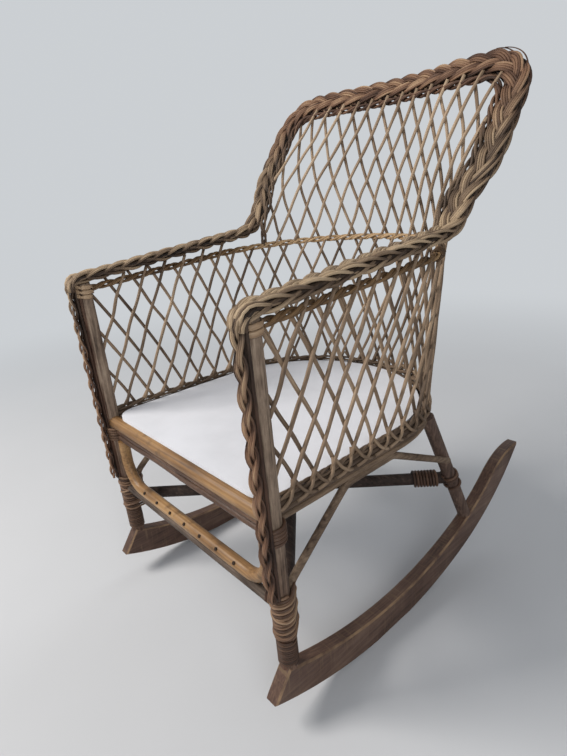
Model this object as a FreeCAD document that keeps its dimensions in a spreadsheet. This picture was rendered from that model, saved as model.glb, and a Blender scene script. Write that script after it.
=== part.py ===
import FreeCAD, Part
import math
import os
import Sketcher
from FreeCAD import Vector

# Wicker rocking chair, in millimetres. +Z is up and the chair faces -Y.
# Origin: on the floor, midway between the rockers, where they touch it.

SIZES = {
    # Rockers
    "side_spacing": 506,
    "rocker_thickness": 26,
    "rocker_height": 58,
    "rocker_front_radius": 740,
    "rocker_rear_radius": 480,
    "rocker_nose_reach": 290,
    "rocker_nose_rake": 34,
    "rocker_bend": 250,
    "rocker_toe_reach": 470,
    "rocker_toe_start": 355,
    "rocker_arris": 3,
    "rocker_worn_length": 100,
    # Posts and rear legs
    "pole_diameter": 26,
    "socket_depth": 16,
    "post_foot_reach": 247,
    "post_lean": 11,
    "post_top": 654,
    "leg_head_x": 224,
    "leg_head_y": 160,
    "leg_head_z": 366,
    "leg_foot_reach": 271,
    # Seat
    "seat_half_width": 250,
    "seat_bend_y": 42,
    "rail_under": 356,
    "hoop_rod": 10,
    "top_row_rod": 12,
    "row_gap": 0.4,
    "front_rail_z": 369,
    "reed_diameter": 12.6,
    "ledge_rod": 12,
    "ledge_let_in": 3,
    "panel_thickness": 7,
    "panel_clearance": 7,
    "panel_corner": 40,
    # Stretchers, bow and arches
    "stretcher_diameter": 18,
    "bow_diameter": 22,
    "bow_z": 234,
    "bow_bend": 55,
    "cross_diameter": 24,
    "cross_rear_z": 212,
    "arch_diameter": 13,
    "arch_x": 246,
    "arch_foot_reach": 230,
    "arch_spring_z": 236,
    "arch_front_reach": 95,
    "arch_rear_y": 24,
    "arch_end_z": 262,
    "arch_bend": 40,
    "rear_bow_half_width": 165,
    "rear_bow_y": 236,
    "rear_bow_end_z": 250,
    "nail_count": 7,
    "nail_spacing": 50,
    "nail_head_diameter": 6,
    "nail_head_height": 1.6,
    "nail_shank_diameter": 2,
    "nail_length": 14,
    "nail_tilt": 35,
    # Plaited border
    "post_plait_width": 22,
    "post_plait_thickness": 14,
    "post_plait_shift": 5,
    "post_plait_stand": 3,
    "plait_width": 44,
    "plait_thickness": 24,
    "arm_x": 260,
    "arm_front_z": 661,
    "arm_rear_y": 159,
    "arm_rear_z": 708,
    "arm_nose_radius": 20,
    "arm_bend_radius": 70,
    "back_recline": 35.5,
    "back_half_width": 282,
    "back_height": 320,
    "back_rise": 38,
    "back_flare": 142,
    "back_corner": 72,
    "back_bow": 24,
    # Wales and lattice
    "wale_diameter": 14,
    "wale_half_width": 260,
    "wale_bend_y": 65,
    "wale_front_z": 642,
    "wale_bend_z": 667,
    "wale_rear_z": 679,
    "wale_gap": 1,
    "wale_top_turn": 65,
    "lattice_rod": 6.4,
    "lattice_spacing": 43,
    "lattice_slant": 25,
    "lattice_let_in": 4,
    "rod_end_past_axis": 2,
    "layer_gap": 1,
    # Cane bindings
    "binding_fit": 0.4,
    "cane_diameter": 5.4,
    "cane_gap": 0.8,
    "foot_binding_z": 162,
    "foot_binding_passes": 13,
    "foot_binding_start": -100,
    "foot_binding_end": 95,
    "corner_binding_z": 334,
    "corner_binding_passes": 4,
    "ring_cane_diameter": 8,
    "ring_passes": 2,
    "post_wrap_start": -20,
    "post_wrap_end": 120,
    "cross_binding_turns": 8,
    "fine_cane_diameter": 3.4,
    "fine_wrap_turns": 9,
}

# Sizes that follow from the ones above
DERIVED = {
    "half_spacing": "side_spacing / 2",
    "pole_radius": "pole_diameter / 2",
    "rocker_middle_z": "sqrt(rocker_front_radius ^ 2 - (rocker_worn_length / 2) ^ 2)",
    "rear_curve_y": "(rocker_front_radius - rocker_rear_radius) * rocker_bend / rocker_front_radius",
    "rear_curve_z": "rocker_middle_z - (rocker_front_radius - rocker_rear_radius)"
                    " * sqrt(1 - (rocker_bend / rocker_front_radius) ^ 2)",
    "post_foot_z": "rocker_middle_z - socket_depth"
                   " - sqrt((rocker_front_radius - rocker_height) ^ 2 - post_foot_reach ^ 2)",
    "leg_foot_z": "rear_curve_z - socket_depth"
                  " - sqrt((rocker_rear_radius - rocker_height) ^ 2 - (leg_foot_reach - rear_curve_y) ^ 2)",
    "post_slope": "post_lean / (post_top - post_foot_z)",
    "rail_reach": "post_foot_reach + post_slope * (front_rail_z - post_foot_z)",
    "row_step": "hoop_rod + row_gap",
    "top_row_z": "rail_under + 3 * row_step + top_row_rod / 2",
    "hoop_end_reach": "rail_reach - pole_radius / 2",
    "reed_step": "reed_diameter + row_gap",
    "panel_under": "front_rail_z + pole_radius + row_gap",
    "panel_half_width": "seat_half_width - top_row_rod / 2 - panel_clearance",
    "ledge_half_width": "seat_half_width - (hoop_rod + ledge_rod) / 2 - row_gap",
    "ledge_z": "panel_under - row_gap - ledge_rod / 2",
    "ledge_end_reach": "rail_reach - pole_radius + ledge_let_in",
    "rail_half_length": "half_spacing - pole_radius / 2",
    "bow_end_z": "front_rail_z - pole_radius - 2 * reed_step - row_gap",
    "bow_half_width": "half_spacing - pole_radius - bow_diameter / 2 - row_gap",
    "bow_reach": "post_foot_reach + post_slope * (bow_z - post_foot_z)",
    "stretcher_z": "bow_z - (bow_diameter + stretcher_diameter) / 2 - row_gap",
    "cross_front_z": "stretcher_z - (stretcher_diameter + cross_diameter) / 2 - row_gap",
    "arch_foot_z": "cross_front_z + cross_diameter / 2 + row_gap",
    "arch_top_z": "rail_under - arch_diameter / 2 - row_gap",
    "arch_end_y": "leg_head_y + (leg_foot_reach - leg_head_y)"
                  " * (leg_head_z - arch_end_z) / (leg_head_z - leg_foot_z)",
    "cane_step": "cane_diameter + cane_gap",
    "post_plait_reach": "pole_radius + row_gap + post_plait_thickness / 2",
    "post_plait_foot": "foot_binding_z + foot_binding_passes * cane_step",
    "arm_front_reach": "post_foot_reach + post_lean + post_plait_reach + post_plait_stand",
    "wale_inset": "(plait_width + wale_diameter) / 2 + wale_gap",
    "arm_slope": "(arm_rear_z - arm_front_z) / (arm_rear_y + arm_front_reach)",
    "ring_z": "arm_front_z - (plait_thickness + ring_cane_diameter) / 2 - ring_passes * ring_cane_diameter",
    "hoop_1_z": "rail_under + hoop_rod / 2",
    "hoop_2_z": "hoop_1_z + row_step",
    "hoop_3_z": "hoop_2_z + row_step",
}

doc = FreeCAD.newDocument("wicker_rocking_chair")
sheet = doc.addObject("Spreadsheet::Sheet", "Sizes")
for row, (alias, number) in enumerate(SIZES.items(), start=1):
    sheet.set(f"A{row}", alias)
    sheet.set(f"B{row}", str(number))
    sheet.setAlias(f"B{row}", alias)
for row, (alias, formula) in enumerate(DERIVED.items(), start=len(SIZES) + 2):
    sheet.set(f"A{row}", alias)
    sheet.set(f"B{row}", "=" + formula)
    sheet.setAlias(f"B{row}", alias)
doc.recompute()

nodes = []
SIDES = {"left": 1, "right": -1}
XY_PLANE, XZ_PLANE, YZ_PLANE = "XY_Plane", "XZ_Plane", "YZ_Plane"


def size(alias):
    return float(getattr(sheet, alias))


def cell(alias):
    return "Sizes." + alias


def keep(thing):
    nodes.append(thing)
    return thing


# Poles: a cylinder standing on a straight axis line

def pole(name, diameter, start, end):
    axis = doc.addObject("Part::Line", name + "_axis")
    for place, text in zip(("X1", "Y1", "Z1", "X2", "Y2", "Z2"), start + end):
        axis.setExpression(place, text)
    rod = doc.addObject("Part::Cylinder", name)
    rod.setExpression("Radius", f"{cell(diameter)} / 2")
    rod.setExpression("Height", f"{axis.Name}.Shape.Length")
    rod.AttachmentSupport = [(axis, "Edge1")]
    rod.MapMode = "NormalToEdge"
    rod.MapReversed = True
    rod.MapPathParameter = 0
    return keep(rod)


def leg_at(sign, height):
    """Point of a rear leg's axis at a height, as expressions."""
    share = f"(Sizes.leg_head_z - {height}) / (Sizes.leg_head_z - Sizes.leg_foot_z)"
    x = f"{sign} * (Sizes.leg_head_x + (Sizes.half_spacing - Sizes.leg_head_x) * {share})"
    y = f"Sizes.leg_head_y + (Sizes.leg_foot_reach - Sizes.leg_head_y) * {share}"
    return x, y, height


def post_at(sign, height):
    """Point of a front post's axis at a height, as expressions."""
    y = f"-Sizes.post_foot_reach - Sizes.post_slope * ({height} - Sizes.post_foot_z)"
    return f"{sign} * Sizes.half_spacing", y, height


def front_pole(name, diameter, height):
    """Pole between the two front posts, let into both."""
    reach = post_at(1, height)[1]
    half = cell("rail_half_length")
    pole(name, diameter, ("-" + half, reach, height), (half, reach, height))


# Bodies: sketches on the body's own planes

def plane_of(body, name):
    return next(part for part in body.Origin.OriginFeatures if part.Role == name)


def sketch_on(body, name, plane, height=None):
    sketch = body.newObject("Sketcher::SketchObject", name)
    sketch.AttachmentSupport = [(plane_of(body, plane), "")]
    sketch.MapMode = "FlatFace"
    if height:
        sketch.setExpression("AttachmentOffset.Base.z", height)
    return sketch


def fix(sketch, text, kind, *where):
    """Adds a driving constraint that follows the sheet."""
    index = sketch.addConstraint(Sketcher.Constraint(kind, *where))
    sketch.setExpression(f"Constraints[{index}]", text)


def join_smooth(sketch, first, second):
    sketch.addConstraint(Sketcher.Constraint("Tangent", first, 2, second, 1))


def pipe_body(body, spine, edges, diameter):
    """Round rod along a spine sketch."""
    doc.recompute()
    ring = body.newObject("Sketcher::SketchObject", spine.Name + "_ring")
    ring.AttachmentSupport = [(spine, "Edge1")]
    ring.MapMode = "NormalToEdge"
    ring.addGeometry(Part.Circle(Vector(0, 0, 0), Vector(0, 0, 1), size(diameter) / 2))
    ring.addConstraint(Sketcher.Constraint("Coincident", 0, 3, -1, 1))
    fix(ring, f"{cell(diameter)} / 2", "Radius", 0, size(diameter) / 2)
    pipe = body.newObject("PartDesign::AdditivePipe", spine.Name + "_rod")
    pipe.Profile = ring
    pipe.Spine = (spine, [f"Edge{number}" for number in range(1, edges + 1)])
    return keep(body)


def hoop_row(name, half_width, height, diameter, end_reach):
    """Rod bent round the seat: straight sides and a half-circle back."""
    body = doc.addObject("PartDesign::Body", name)
    spine = sketch_on(body, name + "_line", XY_PLANE, cell(height))
    wide, bend, front = size(half_width), size("seat_bend_y"), -size(end_reach)
    spine.addGeometry(Part.LineSegment(Vector(wide, front, 0), Vector(wide, bend, 0)))
    circle = Part.Circle(Vector(0, bend, 0), Vector(0, 0, 1), wide)
    spine.addGeometry(Part.ArcOfCircle(circle, 0, math.pi))
    spine.addGeometry(Part.LineSegment(Vector(-wide, bend, 0), Vector(-wide, front, 0)))
    join_smooth(spine, 0, 1)
    join_smooth(spine, 1, 2)
    spine.addConstraint(Sketcher.Constraint("PointOnObject", 1, 3, -2))
    spine.addConstraint(Sketcher.Constraint("Vertical", 0))
    spine.addConstraint(Sketcher.Constraint("Vertical", 2))
    spine.addConstraint(Sketcher.Constraint("Horizontal", 0, 1, 2, 2))
    fix(spine, cell("seat_bend_y"), "DistanceY", -1, 1, 1, 3, bend)
    fix(spine, cell(half_width), "Radius", 1, wide)
    fix(spine, cell(end_reach), "DistanceY", 0, 1, -1, 1, -front)
    return pipe_body(body, spine, 3, diameter)


def bent_spine(sketch, corners, bend):
    """Straight runs between corners, rounded with one bend radius, turning left at each corner.

    A corner is a pair of signed aliases.
    """
    def number(text):
        return -size(text[1:]) if text.startswith("-") else size(text)

    points = [Vector(number(across), number(up), 0) for across, up in corners]
    radius = size(bend)
    cuts = [0.0]
    for before, corner, after in zip(points, points[1:], points[2:]):
        turn = (corner - before).getAngle(after - corner)
        cuts.append(radius * math.tan(turn / 2))
    cuts.append(0.0)
    ways = [(after - before).normalize() for before, after in zip(points, points[1:])]
    runs = len(ways)
    for index, way in enumerate(ways):
        start = points[index] + way * cuts[index]
        end = points[index + 1] - way * cuts[index + 1]
        sketch.addGeometry(Part.LineSegment(start, end))
        if index + 1 < runs:
            corner = points[index + 1]
            onward = corner + ways[index + 1] * cuts[index + 1]
            inward = (ways[index + 1] - way).normalize()
            turn = way.getAngle(ways[index + 1])
            middle = corner + inward * (radius / math.cos(turn / 2) - radius)
            sketch.addGeometry(Part.Arc(end, middle, onward))
    for index, ((across, up), point) in enumerate(zip(corners, points)):
        marker = sketch.addGeometry(Part.Point(point), True)
        for kind, text, value in (("DistanceX", across, point.x), ("DistanceY", up, point.y)):
            order = (marker, 1, -1, 1) if text.startswith("-") else (-1, 1, marker, 1)
            fix(sketch, cell(text.lstrip("-")), kind, *order, abs(value))
        run = 2 * index
        if index == 0:
            sketch.addConstraint(Sketcher.Constraint("Coincident", marker, 1, 0, 1))
        elif index == runs:
            sketch.addConstraint(Sketcher.Constraint("Coincident", marker, 1, run - 2, 2))
        else:
            arc = run - 1
            join_smooth(sketch, arc - 1, arc)
            join_smooth(sketch, arc, arc + 1)
            sketch.addConstraint(Sketcher.Constraint("PointOnObject", marker, 1, arc - 1))
            sketch.addConstraint(Sketcher.Constraint("PointOnObject", marker, 1, arc + 1))
            fix(sketch, cell(bend), "Radius", arc, radius)
    return 2 * runs - 1


# Rockers

def rocker(side, sign):
    name = f"rocker_{side}"
    body = doc.addObject("PartDesign::Body", name)
    body.setExpression("Placement.Base.x", f"{sign} * Sizes.half_spacing - Sizes.rocker_thickness / 2")
    outline = sketch_on(body, name + "_outline", YZ_PLANE)
    front, rear, high = size("rocker_front_radius"), size("rocker_rear_radius"), size("rocker_height")
    front_middle = Vector(0, size("rocker_middle_z"), 0)
    rear_middle = Vector(size("rear_curve_y"), size("rear_curve_z"), 0)

    def on_curve(middle, radius, across):
        return middle + Vector(across - middle.x, -math.sqrt(radius ** 2 - (across - middle.x) ** 2), 0)

    def sweep(middle, radius, start, end):
        first = math.atan2(start.y - middle.y, start.x - middle.x)
        last = math.atan2(end.y - middle.y, end.x - middle.x)
        return Part.ArcOfCircle(Part.Circle(middle, Vector(0, 0, 1), radius), first, last)

    nose = on_curve(front_middle, front, -size("rocker_nose_reach"))
    bend = on_curve(front_middle, front, size("rocker_bend"))
    worn_start, worn_end = [Vector(way * size("rocker_worn_length") / 2, 0, 0) for way in (-1, 1)]
    toe = on_curve(rear_middle, rear, size("rocker_toe_reach"))
    toe_start = on_curve(rear_middle, rear - high, size("rocker_toe_start"))
    top_bend = bend + (front_middle - bend).normalize() * high
    brow = on_curve(front_middle, front - high, size("rocker_nose_rake") - size("rocker_nose_reach"))
    along = Vector(-(toe_start - rear_middle).y, (toe_start - rear_middle).x, 0).normalize()
    chord = toe - toe_start
    toe_radius = chord.Length ** 2 / (2 * abs(along.x * chord.y - along.y * chord.x))
    toe_middle = toe_start + Vector(along.y, -along.x, 0) * toe_radius
    front_under, worn, under, rear_under, toe_arc, rear_top, top, end = range(8)
    outline.addGeometry(sweep(front_middle, front, nose, worn_start))
    outline.addGeometry(Part.LineSegment(worn_start, worn_end))
    outline.addGeometry(sweep(front_middle, front, worn_end, bend))
    outline.addGeometry(sweep(rear_middle, rear, bend, toe))
    outline.addGeometry(sweep(toe_middle, toe_radius, toe, toe_start))
    outline.addGeometry(sweep(rear_middle, rear - high, top_bend, toe_start))
    outline.addGeometry(sweep(front_middle, front - high, brow, top_bend))
    outline.addGeometry(Part.LineSegment(brow, nose))
    outline.addConstraint(Sketcher.Constraint("Coincident", front_under, 2, worn, 1))
    outline.addConstraint(Sketcher.Constraint("Coincident", worn, 2, under, 1))
    outline.addConstraint(Sketcher.Constraint("Coincident", front_under, 3, under, 3))
    outline.addConstraint(Sketcher.Constraint("Equal", front_under, under))
    outline.addConstraint(Sketcher.Constraint("PointOnObject", worn, 1, -1))
    outline.addConstraint(Sketcher.Constraint("PointOnObject", worn, 2, -1))
    join_smooth(outline, under, rear_under)
    outline.addConstraint(Sketcher.Constraint("Coincident", rear_under, 2, toe_arc, 1))
    outline.addConstraint(Sketcher.Constraint("Tangent", toe_arc, 2, rear_top, 2))
    join_smooth(outline, top, rear_top)
    outline.addConstraint(Sketcher.Constraint("Coincident", top, 1, end, 1))
    outline.addConstraint(Sketcher.Constraint("Coincident", end, 2, front_under, 1))
    outline.addConstraint(Sketcher.Constraint("Coincident", top, 3, under, 3))
    outline.addConstraint(Sketcher.Constraint("Coincident", rear_top, 3, rear_under, 3))
    outline.addConstraint(Sketcher.Constraint("PointOnObject", under, 3, -2))
    fix(outline, cell("rocker_middle_z"), "DistanceY", -1, 1, under, 3, front_middle.y)
    fix(outline, cell("rocker_front_radius"), "Radius", under, front)
    fix(outline, cell("rocker_rear_radius"), "Radius", rear_under, rear)
    fix(outline, "Sizes.rocker_front_radius - Sizes.rocker_height", "Radius", top, front - high)
    fix(outline, cell("rocker_bend"), "DistanceX", -1, 1, under, 2, bend.x)
    fix(outline, cell("rocker_nose_reach"), "DistanceX", front_under, 1, -1, 1, -nose.x)
    fix(outline, cell("rocker_nose_rake"), "DistanceX", front_under, 1, top, 1, brow.x - nose.x)
    fix(outline, cell("rocker_toe_reach"), "DistanceX", -1, 1, rear_under, 2, toe.x)
    fix(outline, cell("rocker_toe_start"), "DistanceX", -1, 1, rear_top, 2, toe_start.x)
    board = body.newObject("PartDesign::Pad", name + "_board")
    board.Profile = outline
    board.setExpression("Length", cell("rocker_thickness"))
    doc.recompute()
    flat = [f"Face{number}" for number, face in enumerate(board.Shape.Faces, start=1)
            if abs(face.normalAt(0, 0).x) > 0.99]
    arris = body.newObject("PartDesign::Chamfer", name + "_arris")
    arris.Base = (board, flat)
    arris.setExpression("Size", cell("rocker_arris"))
    keep(body)


# Seat panel

def seat_panel():
    body = doc.addObject("PartDesign::Body", "seat_panel")
    outline = sketch_on(body, "seat_panel_outline", XY_PLANE, cell("panel_under"))
    wide, bend, front, corner = (size(alias) for alias in
                                 ("panel_half_width", "seat_bend_y", "rail_reach", "panel_corner"))
    up = Vector(0, 0, 1)
    right_corner = Part.Circle(Vector(wide - corner, corner - front, 0), up, corner)
    left_corner = Part.Circle(Vector(corner - wide, corner - front, 0), up, corner)
    outline.addGeometry(Part.LineSegment(Vector(corner - wide, -front, 0), Vector(wide - corner, -front, 0)))
    outline.addGeometry(Part.ArcOfCircle(right_corner, -math.pi / 2, 0))
    outline.addGeometry(Part.LineSegment(Vector(wide, corner - front, 0), Vector(wide, bend, 0)))
    outline.addGeometry(Part.ArcOfCircle(Part.Circle(Vector(0, bend, 0), up, wide), 0, math.pi))
    outline.addGeometry(Part.LineSegment(Vector(-wide, bend, 0), Vector(-wide, corner - front, 0)))
    outline.addGeometry(Part.ArcOfCircle(left_corner, math.pi, 1.5 * math.pi))
    for first in range(6):
        join_smooth(outline, first, (first + 1) % 6)
    outline.addConstraint(Sketcher.Constraint("Horizontal", 0))
    outline.addConstraint(Sketcher.Constraint("Vertical", 2))
    outline.addConstraint(Sketcher.Constraint("PointOnObject", 3, 3, -2))
    outline.addConstraint(Sketcher.Constraint("Equal", 1, 5))
    fix(outline, cell("seat_bend_y"), "DistanceY", -1, 1, 3, 3, bend)
    fix(outline, cell("panel_half_width"), "Radius", 3, wide)
    fix(outline, cell("panel_corner"), "Radius", 1, corner)
    fix(outline, cell("rail_reach"), "DistanceY", 0, 1, -1, 1, front)
    board = body.newObject("PartDesign::Pad", "seat_panel_board")
    board.Profile = outline
    board.setExpression("Length", cell("panel_thickness"))
    keep(body)


# Bow and arches

def front_bow():
    body = doc.addObject("PartDesign::Body", "front_bow")
    body.setExpression("Placement.Base.y", "-Sizes.bow_reach")
    spine = sketch_on(body, "front_bow_line", XZ_PLANE)
    corners = [("-bow_half_width", "bow_end_z"), ("-bow_half_width", "bow_z"),
               ("bow_half_width", "bow_z"), ("bow_half_width", "bow_end_z")]
    pipe_body(body, spine, bent_spine(spine, corners, "bow_bend"), "bow_diameter")


def side_arch(side, sign):
    body = doc.addObject("PartDesign::Body", f"side_arch_{side}")
    body.setExpression("Placement.Base.x", f"{sign} * Sizes.arch_x")
    spine = sketch_on(body, f"side_arch_{side}_line", YZ_PLANE)
    corners = [("arch_end_y", "arch_end_z"), ("arch_rear_y", "arch_top_z"),
               ("-arch_front_reach", "arch_top_z"), ("-arch_foot_reach", "arch_spring_z"),
               ("-arch_foot_reach", "arch_foot_z")]
    pipe_body(body, spine, bent_spine(spine, corners, "arch_bend"), "arch_diameter")


# Paths: runs and arcs that meet smoothly

STRAIGHT = 1e-5
UP = Vector(0, 0, 1)


def run(start, end):
    return Part.LineSegment(start, end).toShape()


def arc_from(start, way, end):
    """One arc that leaves start along way and reaches end."""
    chord = end - start
    across = way - chord * (way.dot(chord) / chord.dot(chord))
    if across.Length < STRAIGHT:
        return run(start, end)
    bulge = chord.Length / 2 * math.tan(way.getAngle(chord) / 2)
    middle = start + chord * 0.5 + across.normalize() * bulge
    return Part.Arc(start, middle, end).toShape()


def biarc(start, way_out, end, way_in):
    """Two arcs that leave start along way_out and reach end along way_in."""
    gap = end - start
    along = gap.dot(way_out + way_in)
    bend = 2 * (1 - way_out.dot(way_in))
    if bend < STRAIGHT:
        reach = gap.dot(gap) / (2 * along)
    else:
        reach = (math.sqrt(along ** 2 + bend * gap.dot(gap)) - along) / bend
    joint = (start + way_out * reach + end - way_in * reach) * 0.5
    chord = (end - joint).normalize()
    way_on = chord * (2 * way_in.dot(chord)) - way_in
    return [arc_from(start, way_out, joint), arc_from(joint, way_on, end)]


def rounded_runs(points, radius):
    """Straight runs through the points, with every corner rounded."""
    edges = []
    start = points[0]
    for before, corner, after in zip(points, points[1:], points[2:]):
        way_in = (corner - before).normalize()
        way_out = (after - corner).normalize()
        cut = radius * math.tan(way_in.getAngle(way_out) / 2)
        edges.append(run(start, corner - way_in * cut))
        start = corner + way_out * cut
        edges.append(arc_from(corner - way_in * cut, way_in, start))
    edges.append(run(start, points[-1]))
    return edges


def mirrored(point):
    return Vector(-point.x, point.y, point.z)


def start_of(edge):
    return edge.valueAt(edge.FirstParameter), edge.tangentAt(edge.FirstParameter)


def point_along(edges, share):
    """Point at a share of the whole length of a row of edges."""
    left = share * sum(edge.Length for edge in edges)
    for edge in edges[:-1]:
        if left <= edge.Length:
            break
        left -= edge.Length
    else:
        edge = edges[-1]
    return edge.valueAt(edge.getParameterByLength(min(left, edge.Length)))


def tube(edges, section):
    solid = Part.Wire(edges).makePipeShell([Part.Wire(section)], True, False)
    if solid.Volume < 0:
        solid.reverse()
    return solid


def round_tube(edges, diameter):
    start, way = start_of(edges[0])
    return tube(edges, Part.Circle(start, way, diameter / 2).toShape())


def flat_tube(edges, wide_way, width, thickness):
    """Oval section, its width along wide_way at the start."""
    start, way = start_of(edges[0])
    thick_way = way.cross(wide_way).normalize()
    oval = Part.Ellipse(start + wide_way * (width / 2), start + thick_way * (thickness / 2), start)
    return tube(edges, oval.toShape())


def piece(name, shape):
    """Node that holds a finished shape."""
    thing = doc.addObject("Part::Feature", name)
    thing.Shape = shape
    return keep(thing)


def pair(name, shape):
    """The same piece on the left and, mirrored, on the right."""
    piece(name + "_left", shape)
    piece(name + "_right", shape.mirror(Vector(0, 0, 0), Vector(1, 0, 0)))


def post_axis(height):
    """Point of the left front post's axis."""
    reach = size("post_foot_reach") + size("post_slope") * (height - size("post_foot_z"))
    return Vector(size("half_spacing"), -reach, height)


def leg_axis(height):
    """Point of the left rear leg's axis."""
    share = (size("leg_head_z") - height) / (size("leg_head_z") - size("leg_foot_z"))
    head = Vector(size("leg_head_x"), size("leg_head_y"), size("leg_head_z"))
    foot = Vector(size("half_spacing"), size("leg_foot_reach"), size("leg_foot_z"))
    return head + (foot - head) * share


# Rear bow and nails

def rear_bow():
    end = leg_axis(size("rear_bow_end_z")) - Vector(size("pole_radius") / 2, 0, 0)
    shoulder = Vector(size("rear_bow_half_width"), size("rear_bow_y"), size("arch_top_z"))
    points = [end, shoulder, mirrored(shoulder), mirrored(end)]
    piece("rear_bow", round_tube(rounded_runs(points, size("arch_bend")), size("arch_diameter")))


def bow_nails():
    tilt = math.radians(size("nail_tilt"))
    out = Vector(0, -math.cos(tilt), math.sin(tilt))
    count = int(size("nail_count"))
    nails = []
    for number in range(count):
        across = (number - (count - 1) / 2) * size("nail_spacing")
        seat = Vector(across, -size("bow_reach"), size("bow_z")) + out * (size("bow_diameter") / 2)
        head = Part.makeCylinder(size("nail_head_diameter") / 2, size("nail_head_height"), seat, out)
        shank = Part.makeCylinder(size("nail_shank_diameter") / 2, size("nail_length"), seat, out * -1)
        nails.append(head.fuse(shank))
    piece("bow_nails", Part.makeCompound(nails))


# Plaited border

def back_point(across, rise, behind=0):
    """Point of the reclined plane of the back: across in X, rise up the slope."""
    recline = math.radians(size("back_recline"))
    return Vector(across, size("arm_rear_y") + rise * math.sin(recline) + behind,
                  size("arm_rear_z") + rise * math.cos(recline))


def back_border(inset, square=False):
    """Edges of the back's border, from the left arm over the top to the right arm.

    A square border runs on to sharp corners at the top.
    """
    up_slope = back_point(0, 1) - back_point(0, 0)
    to_right = Vector(-1, 0, 0)
    wide = size("back_half_width") - inset
    top = size("back_height") - inset
    corner = size("back_corner") - inset
    foot = back_point(size("arm_x") - inset, size("back_rise"))
    flare = back_point(wide, size("back_flare"))
    shoulder = back_point(wide, top if square else top - corner)
    crest = back_point(wide - corner, top)
    middle = back_point(0, top, size("back_bow"))
    left = biarc(foot, up_slope, flare, up_slope)
    left.append(run(flare, shoulder))
    left.append(run(shoulder, crest) if square else arc_from(shoulder, up_slope, crest))
    left.extend(biarc(crest, to_right, middle, to_right))
    right = biarc(middle, to_right, mirrored(crest), to_right)
    right.append(run(mirrored(crest), mirrored(shoulder)) if square
                 else arc_from(mirrored(crest), to_right, mirrored(shoulder)))
    right.append(run(mirrored(shoulder), mirrored(flare)))
    right.extend(biarc(mirrored(flare), up_slope * -1, mirrored(foot), up_slope * -1))
    return left + right


def plaits():
    across = Vector(1, 0, 0)
    nose = Vector(size("arm_x"), -size("arm_front_reach"), size("arm_front_z"))
    rise = back_point(size("arm_x"), size("back_rise") - size("row_gap"))
    bend = back_point(size("arm_x"), 0)
    turn = math.pi / 2 - math.atan(size("arm_slope"))
    nose_start = nose - UP * (size("arm_nose_radius") * math.tan(turn / 2))
    arm = rounded_runs([nose_start - UP, nose, bend], size("arm_nose_radius"))
    back = rounded_runs([nose, bend, rise], size("arm_bend_radius"))
    join_start = start_of(arm[-1])[0]
    arm = arm[1:-1] + [run(join_start, start_of(back[1])[0])] + back[1:]
    pair("plait_arm", flat_tube(arm, across, size("plait_width"), size("plait_thickness")))

    foot = post_axis(size("post_plait_foot")) - Vector(-size("post_plait_shift"), size("post_plait_reach"), 0)
    head = Vector(foot.x, -size("arm_front_reach"), nose_start.z - size("row_gap"))
    post = flat_tube([run(foot, head)], across, size("post_plait_width"), size("post_plait_thickness"))
    pair("plait_post", post)
    piece("plait_back", flat_tube(back_border(0), across, size("plait_width"), size("plait_thickness")))


# Wales

def mid_wale(turn):
    """Point of the wale round the middle of the back, at an angle from the rear."""
    lift = (size("wale_rear_z") - size("wale_bend_z")) * math.cos(turn)
    return Vector(size("wale_half_width") * math.sin(turn),
                  size("wale_bend_y") + size("wale_half_width") * math.cos(turn),
                  size("wale_bend_z") + lift)


def top_wale():
    """Edges of the wale inside the back's border, from the mid wale round to the mid wale."""
    border = back_border(size("wale_inset"))
    start = mid_wale(math.radians(size("wale_top_turn")))
    foot, up_slope = start_of(border[0])
    lead = biarc(start, (foot - start).normalize(), foot, up_slope)
    down = (mirrored(start) - mirrored(foot)).normalize()
    return lead + border + biarc(mirrored(foot), up_slope * -1, mirrored(start), down)


def wales():
    ring_reach = size("pole_radius") + size("binding_fit") + size("ring_cane_diameter") + size("row_gap")
    front_z = size("wale_front_z")
    front = Vector(size("wale_half_width"), post_axis(front_z).y + ring_reach, front_z)
    bend = mid_wale(math.pi / 2)
    gap = (bend - front).normalize() * size("row_gap")
    pair("wale_arm", round_tube([run(front, bend - gap)], size("wale_diameter")))
    half = Part.Arc(bend, mid_wale(0), mirrored(bend)).toShape()
    piece("wale_back", round_tube([half], size("wale_diameter")))
    piece("wale_top", round_tube(top_wale(), size("wale_diameter")))


# Lattice

STEP = 0.002
ROD_SPANS = 4
SHORTEST_ROD = 0.25


def lower_shell(place, rise):
    """Point between the seat's top row and the wales; place runs round from the middle of the back."""
    hand = math.copysign(1, place)
    past = abs(place) - math.pi / 2 * size("seat_half_width")
    turn = place / size("seat_half_width")
    if past > 0:
        share = past / side_length()
        low = Vector(hand * size("seat_half_width"), size("seat_bend_y") - past, size("top_row_z"))
        front = post_axis(size("wale_front_z")).y + size("pole_radius") - size("lattice_let_in")
        bend = mid_wale(math.pi / 2)
        high = Vector(hand * bend.x, bend.y + (front - bend.y) * share,
                      bend.z + (size("wale_front_z") - bend.z) * share)
    else:
        low = Vector(size("seat_half_width") * math.sin(turn),
                     size("seat_bend_y") + size("seat_half_width") * math.cos(turn), size("top_row_z"))
        high = mid_wale(turn)
    return low + (high - low) * rise


def side_length():
    """Length of a side of the seat's top row, from the bend to inside the front post."""
    return size("seat_bend_y") + size("rail_reach") - size("pole_radius") + size("lattice_let_in")


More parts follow.
